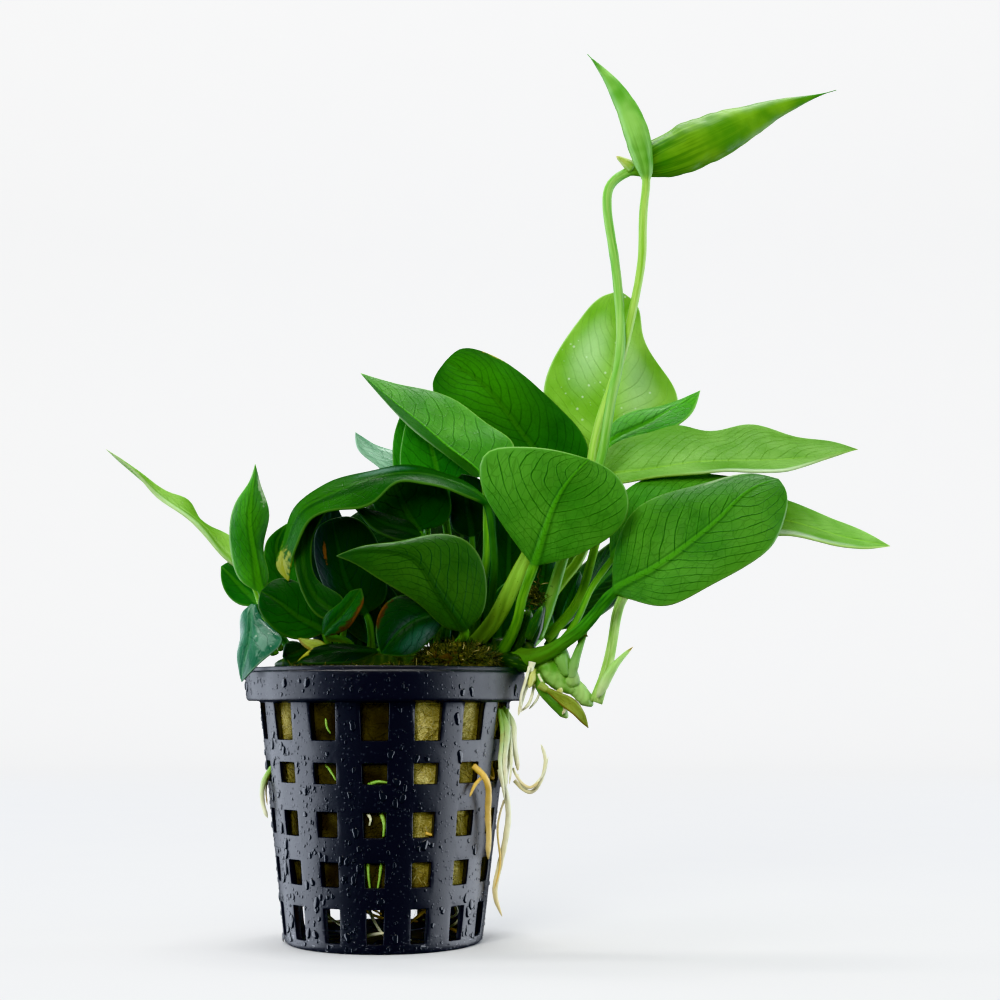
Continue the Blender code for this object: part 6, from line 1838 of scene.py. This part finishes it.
# %% Flower skins
def flower_skin(spec):
    """Rings round stalk and hood, and for each point its angle's share and its place, below 0 on the stalk."""
    stalk, hood = (place(read_points(spec[part])) for part in ("stalk", "hood"))
    path = Path(np.vstack((stalk, hood)))
    start = path.knots[len(stalk) - 1]
    share = np.concatenate((np.zeros(STALK_RINGS), np.linspace(0, 0.997, HOOD_RINGS)))
    on_stalk = np.linspace(0, start, STALK_RINGS, endpoint=False)
    distance = np.concatenate((on_stalk, start + (path.length - start) * share[STALK_RINGS:]))
    base, tip = np.array(spec["side"], float)
    along = path.along(distance)
    right = square_to(base + (tip - base) * share[:, None], along)
    front = np.cross(right, along)
    front = front * np.where(front[:, 1:2] > 0, -1, 1)
    full = spec["half"] * fullness(spec["form"], np.clip(share, 1e-6, 1))
    full = np.where(share > 0, full, 0)
    foot = 1 + 0.75 * np.exp(-distance / MM / 11)
    round_part = spec["thick"] * (1 - share) ** 2 * foot
    wide = np.maximum(np.hypot(full, round_part), 0.12)
    deep = np.maximum(np.hypot(full * spec["depth"], round_part), 0.12)
    turn = np.sort(np.append(full_turn(FLOWER_SIDES - 1), SEAM_END))
    seam_foot, seam_tip = spec["seam"]
    angle = turn + np.radians(seam_foot + (seam_tip - seam_foot) * share)[:, None]
    past = turn / SEAM_WIDTH
    before = (2 * math.pi - turn) / SEAM_WIDTH
    open_share = (smooth(share, 0.02, 0.3) * smooth(-share, -1.0, -0.8))[:, None]
    over = spec["lip"] * np.clip(1 - before, 0, 1) ** 0.7 - 0.5 * spec["lip"] * np.clip(1 - past, 0, 1)
    ribs = 0.025 * np.cos(5 * angle) + 0.012 * np.cos(23 * angle + 3)
    scale = 1 + over * open_share + ribs
    spokes = (
        (wide[:, None] * np.cos(angle) * scale)[..., None] * right[:, None]
        + (deep[:, None] * np.sin(angle) * scale)[..., None] * front[:, None]
    )
    middle = path.at(distance)[:, None]
    rings = middle + spokes * MM
    lumps = 1 + 0.05 * swell(rings, 0.004) + 0.04 * swell(rings + 0.2, 0.0016)
    before_hood = np.concatenate(((on_stalk - start) / MM, np.zeros(HOOD_RINGS)))
    value = triple(turn / (2 * math.pi), (share + before_hood / 100)[:, None], 0.0)
    return middle + (rings - middle) * lumps[..., None], value


def flower_finish(name, spec):
    """Green hood with dark streaks from its base, a yellow lip along the seam, and a paler stalk."""
    flower = Finish(name, roughness=0.42, coat=0.05, specular=0.3)
    vector, turn, share, spare = flower.values("flower")
    patch = flower.noise(150.0, 2.0)
    low, high = spec["hood_tones"]
    hood = flower.mix(flower.between(patch, 0.3, 0.7), low, high)
    streaks = flower.noise(1.0, 2.0, vector=flower.stretched(vector, (46.0, 2.2, 0.0)))
    dark = flower.times(flower.between(streaks, 0.56, 0.40), flower.between(share, 0.50, 0.08), spec["streak"])
    hood = flower.mix(dark, hood, (0.018, 0.12, 0.003))
    fine = flower.noise(1.0, 1.0, vector=flower.stretched(vector, (120.0, 3.0, 0.0)))
    hood = flower.mix(flower.between(fine, 0.5, 0.8, 0.0, 0.35), hood, high)
    hood = flower.mix(flower.between(share, 0.78, 0.93, 0.0, 0.75), hood, (0.022, 0.19, 0.004))
    on_lip = flower.times(flower.between(share, 0.30, 0.40), flower.between(share, 0.80, 0.70))
    lip = flower.times(flower.between(turn, 0.925, 0.955), on_lip, 0.75)
    hood = flower.mix(lip, hood, (0.46, 0.62, 0.10))
    edge = flower.times(flower.between(turn, 0.985, 0.995), flower.between(share, 0.05, 0.2), 0.8)
    hood = flower.mix(edge, hood, (0.60, 0.72, 0.34))
    lengthwise = flower.noise(1.0, 2.0, vector=flower.stretched(vector, (9.0, 7.0, 0.0)))
    stalk = flower.mix(flower.between(lengthwise, 0.3, 0.7), *spec["stalk_tones"])
    tone = flower.mix(flower.between(share, -0.01, 0.05), stalk, hood)
    height = flower.plus(streaks, flower.noise(1600.0, 2.0))
    flower.relief(height, 0.00008, 0.5)
    flower.set(Base_Color=tone)
    return flower


for node, spec in FLOWERS.items():
    rings, value = flower_skin(spec)
    dress(loft(node + "_live", rings, {"flower": value}), flower_finish(node + "_live", spec), node)
print("flowers:", [made[node + "_live"] for node in FLOWERS])

# %% [markdown]
# ## Shoots
#
# A shoot is a rolled young leaf: a round green tube that narrows to a point, pale at its foot, with a faint
# seam. The longest one at the right has a browned, hooked tip.

# %% Shoots
SHOOTS = {
    "shoot_right": "41.8 -8.2 47 0.5, 43 -9 49.2 1, 45 -10.4 52.8 0.85, 49 -10.5 57 0.22",
    "shoot_middle": "36.6 -7.6 50.6 0.9, 37.2 -8.6 53.2 1, 38.2 -9 56.4 0.75, 40 -9.6 60.5 0.28",
    "shoot_drooping": "29.5 -8 52 1, 31 -9 48.5 1, 33.5 -8.4 45.5 1, 36 -8 43 0.9",
    "shoot_short": "28 -8.5 58.5 0.8, 29.5 -10 61.5 1, 31 -11 65 0.4",
}


def shoot_skin(text, rows=64, sides=28):
    """A tube closed at both ends, with a low ridge along one side for the rolled leaf's outer margin."""
    rings, distance = tube_rings(*stations(text), rows, sides)
    share = (distance / distance[-1])[:, None]
    centre = rings.mean(axis=1, keepdims=True)
    angle = full_turn(sides)
    seam = 1 + 0.16 * np.clip(1 - angle / 1.5, 0, 1) * smooth(share, 0.1, 0.4)
    closing = np.sqrt(np.clip(np.minimum(share * 14, (1 - share) * 9), 0, 1) * 0.96 + 0.04)
    grown = seam * (1 + 0.07 * swell(rings, 0.003)) * closing
    return centre + (rings - centre) * grown[..., None], triple(share, angle / (2 * math.pi), 0.0)


def shoot_finish(name, foot, top, tip):
    """From a pale foot through green to the tip's own colour, with fine lengthwise lines."""
    shoot = Finish(name, roughness=0.38, coat=0.2)
    vector, share, turn, spare = shoot.values("shoot")
    grain = shoot.noise(1.0, 2.0, vector=shoot.stretched(vector, (4.0, 40.0, 0.0)))
    tone = shoot.mix(shoot.between(shoot.plus(share, shoot.times(grain, 0.3)), 0.10, 0.75), foot, top)
    tone = shoot.mix(shoot.between(grain, 0.55, 0.75, 0.0, 0.3), tone, (0.30, 0.55, 0.10))
    tone = shoot.mix(shoot.between(share, 0.86, 0.95), tone, tip)
    shoot.relief(shoot.noise(1500.0, 2.0), 0.0001, 0.5)
    shoot.set(Base_Color=tone)
    return shoot


SHOOT_TONES = {
    "shoot_right": ((0.66, 0.84, 0.40), (0.38, 0.66, 0.18), (0.34, 0.26, 0.05)),
    "shoot_middle": ((0.34, 0.56, 0.20), (0.18, 0.40, 0.09), (0.26, 0.34, 0.07)),
    "shoot_drooping": ((0.14, 0.34, 0.05), (0.10, 0.28, 0.04), (0.30, 0.48, 0.14)),
    "shoot_short": ((0.015, 0.06, 0.006), (0.010, 0.06, 0.005), (0.05, 0.16, 0.02)),
}
for node, text in SHOOTS.items():
    rings, value = shoot_skin(text)
    name = node + "_live"
    dress(loft(name, rings, {"shoot": value}), shoot_finish(name, *SHOOT_TONES[node]), node)
print("shoots:", len(SHOOTS))

# %% [markdown]
# ## Roots
#
# Roots hang over the rim and down the right side. They are pale green-white where new, ochre where old, a
# little knotty, and taper to soft tips. Beside the measured ones run finer roots of the same kind.

# %% Roots
ROOTS = {
    "root_right_long": "22.6 -7.8 44.4 0.6, 23.9 -8.6 41.5 0.6, 23.7 -8.6 36 0.6, 23.5 -7.6 29 0.6",
    "root_right_short": "23.2 -6.2 45 0.5, 25.1 -6.8 42 0.55, 25.4 -6.6 38 0.55, 26 -5.4 32.6 0.5",
    "root_loop": "25.4 -3.6 30.8 0.4, 28.5 -3.4 28.6 0.4, 31.4 -3.2 33.4 0.4, 30.6 -3 37.8 0.3",
    "root_down_side":
        "22.4 -6.2 33 0.5, 23.8 -6.2 28 0.6, 23.3 -5.2 17.4 0.6, 21.8 -4 8.6 0.5, 22.9 -3 4.6 0.35",
    "root_from_window":
        "17.4 -14.6 33.6 0.55, 19.6 -15.2 31.4 0.6, 20.3 -13 26.5 0.6, 20.4 -11 20 0.58, "
        "20.2 -10 15.5 0.42",
    "root_over_rim": "29 -10.6 54 0.7, 28 -10.8 50 0.6, 27.2 -11.4 47.6 0.5, 26.2 -12 43.4 0.4",
    "root_left": "-22.2 -6.4 33.4 0.45, -23.8 -7.2 30.5 0.5, -24 -7 27 0.5, -22.9 -7 23.6 0.4",
}
# Tone at the top and at the tip: 0 is green, 0.5 white, 1 ochre
ROOT_SHADES = {
    "root_right_long": (0.06, 0.60), "root_right_short": (0.16, 0.72), "root_loop": (0.72, 0.60),
    "root_down_side": (0.55, 0.78), "root_from_window": (0.92, 0.80), "root_over_rim": (0.45, 0.60),
    "root_left": (0.05, 0.55),
}
FINE_ROOTS = (
    ("22.2 -8.6 44.8, 23 -9 41, 22.8 -9.2 35, 23.4 -8.4 27", 0.42, (0.02, 0.5)),
    ("24 -7.4 44.8, 24.6 -7.6 40, 24.9 -7.6 35, 24.4 -7 30", 0.34, (0.15, 0.7)),
    ("23.4 -7 45, 24.2 -6 40, 24 -5 34, 23.6 -4.4 28", 0.38, (0.1, 0.62)),
    ("25.2 -6.2 33.2, 26.6 -5.4 30.6, 28.8 -5 29.6, 30.4 -4.8 30.8", 0.3, (0.66, 0.8)),
    ("26 -5.2 32, 27.6 -4.4 29.4, 30.2 -4 30.8, 32 -3.8 35.4", 0.22, (0.6, 0.6)),
    ("18.8 -15.6 31.2, 17.6 -16 29.8, 16.6 -16.4 27.6", 0.34, (0.95, 0.9)),
    ("23.4 -6 27, 22.2 -6.4 22, 22.6 -6.2 15, 21.6 -6 10", 0.24, (0.7, 0.95)),
    ("28.4 -11.6 53, 27.4 -12.6 49.6, 26.6 -12.8 46.8, 26.9 -12.6 43.8", 0.3, (0.5, 0.62)),
    ("30.2 -10.4 51.6, 31 -10.8 49.6, 31.8 -10.8 48.2", 0.26, (0.5, 0.5)),
    ("29.4 -9.2 49.6, 28.8 -9.8 47.2, 28 -10.2 45.4, 26.6 -10.6 44.2", 0.36, (0.52, 0.66)),
    ("30.6 -8.4 48.4, 29.6 -8.8 46.2, 28.2 -9 44.6", 0.28, (0.48, 0.6)),
    ("34.2 -8.6 47.4, 34.8 -9.4 46, 35.2 -9.8 44.6, 34.6 -9.8 43.4", 0.42, (0.56, 0.7)),
    ("-22.4 -5.2 33, -23.4 -5.8 30, -23 -5.8 26", 0.26, (0.6, 0.85)),
)


def root_skin(points, radii, tones, rows, sides):
    """A tapering tube with knots, whose tone value runs from its first tone to its last."""
    rings, distance = tube_rings(points, radii, rows, sides)
    share = (distance / distance[-1])[:, None]
    centre = rings.mean(axis=1, keepdims=True)
    closing = np.sqrt(np.clip((1 - share) * 10, 0, 1) * 0.96 + 0.04)
    grown = (1 + 0.12 * swell(rings, 0.0022) + 0.10 * swell(rings + 0.4, 0.0009)) * closing
    wander = 0.25 * MM * swell(centre + 0.2, 0.005) * smooth(share, 0.1, 0.5)
    value = triple(tones[0] + (tones[1] - tones[0]) * share, share, grown)
    return centre + wander[..., None] + (rings - centre) * grown[..., None], value


def fine_root(text, thick, tones):
    """A finer root of one thickness that halves at its tip."""
    points = place(read_points(text))
    return root_skin(points, thick * MM * np.append(np.ones(len(points) - 1), 0.5), tones, 60, 10)


old_root = root_finish("hanging_root")
for node, text in ROOTS.items():
    rings, value = root_skin(*stations(text), ROOT_SHADES[node], 90, 14)
    dress(loft(node + "_live", rings, {"root": value}), old_root, node)
root_rings, root_values = map(np.array, zip(*(fine_root(*spec) for spec in FINE_ROOTS)))
trim(lofts("fine_roots", root_rings, {"root": root_values}), old_root)
print("roots:", len(ROOTS), "and", len(FINE_ROOTS), "fine ones:", made["fine_roots"])

# %% [markdown]
# ## Leftovers round the crown
#
# Where leaves have rotted away their stumps stay on the stem: two dark old stalks beside the live ones, a bud
# on the branch, a browned hook, and small straw-coloured flaps of old sheath. They are short tubes of the
# same kind as the shoots, each with its own tones from foot to tip.

# %% Stumps, bud and flaps
STRAW_TONES = ((0.34, 0.38, 0.08), (0.52, 0.54, 0.16), (0.62, 0.62, 0.30))
STUMP_TONES = ((0.003, 0.015, 0.002), (0.009, 0.036, 0.005), (0.05, 0.13, 0.02))
CROWN_BITS = {
    "old_stalk_front": "25.2 -4 56 1.3, 27 -6.4 60.2 1.2, 28.5 -7.6 64.4 0.9",
    "old_stalk_behind": "27.5 -2 56 1.4, 29.6 -4 61 1.3, 31 -4.6 66 0.9",
    "branch_bud": "36.2 -5.6 49.4 1.3, 36.8 -7 50.5 1.5, 37.1 -8.2 52.4 0.7",
    "browned_hook": "38.2 -9.2 57.6 0.3, 38.9 -9.6 59.2 0.24, 40.2 -9.8 59 0.14",
    "sheath_flap_low": "33.2 -7.4 46.6 0.6, 34 -8.6 47.6 0.9, 34.8 -9.3 48.9 0.3",
    "sheath_flap_rim": "29 -9.6 52.6 0.7, 28.8 -11 50.8 0.9, 28.4 -12 48.8 0.25",
    "old_leaf_base": "34.2 -7.4 57 1.5, 35 -8.2 54 1.4, 36 -7.8 51 0.8",
    "withered_bract": "50 0.4 154.4 1.4, 48.4 0.2 155.8 1, 46.4 0 157.2 0.3",
    "stem_side": "22.5 -5 54.6 1.4, 26 -6.2 53.7 1.7, 28.8 -6.4 52.6 0.9",
}
BIT_TONES = {
    "branch_bud": ((0.20, 0.42, 0.09), (0.36, 0.58, 0.18), (0.30, 0.54, 0.14)),
    "browned_hook": ((0.10, 0.16, 0.02), (0.16, 0.10, 0.03), (0.12, 0.06, 0.02)),
    "old_leaf_base": ((0.12, 0.34, 0.06), (0.24, 0.48, 0.12), (0.12, 0.30, 0.06)),
    "sheath_flap_low": STRAW_TONES, "sheath_flap_rim": STRAW_TONES,
    "withered_bract": ((0.14, 0.34, 0.04), (0.34, 0.44, 0.08), (0.46, 0.44, 0.14)),
}
for name, text in CROWN_BITS.items():
    rings, value = shoot_skin(text, rows=36, sides=20)
    tones = BIT_TONES.get(name, STUMP_TONES)
    trim(loft(name, rings, {"shoot": value}), shoot_finish(name, *tones))
print("crown bits:", len(CROWN_BITS))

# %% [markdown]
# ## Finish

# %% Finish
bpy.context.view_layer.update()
print("triangles:", sum(made.values()), "in", len(made), "pieces")
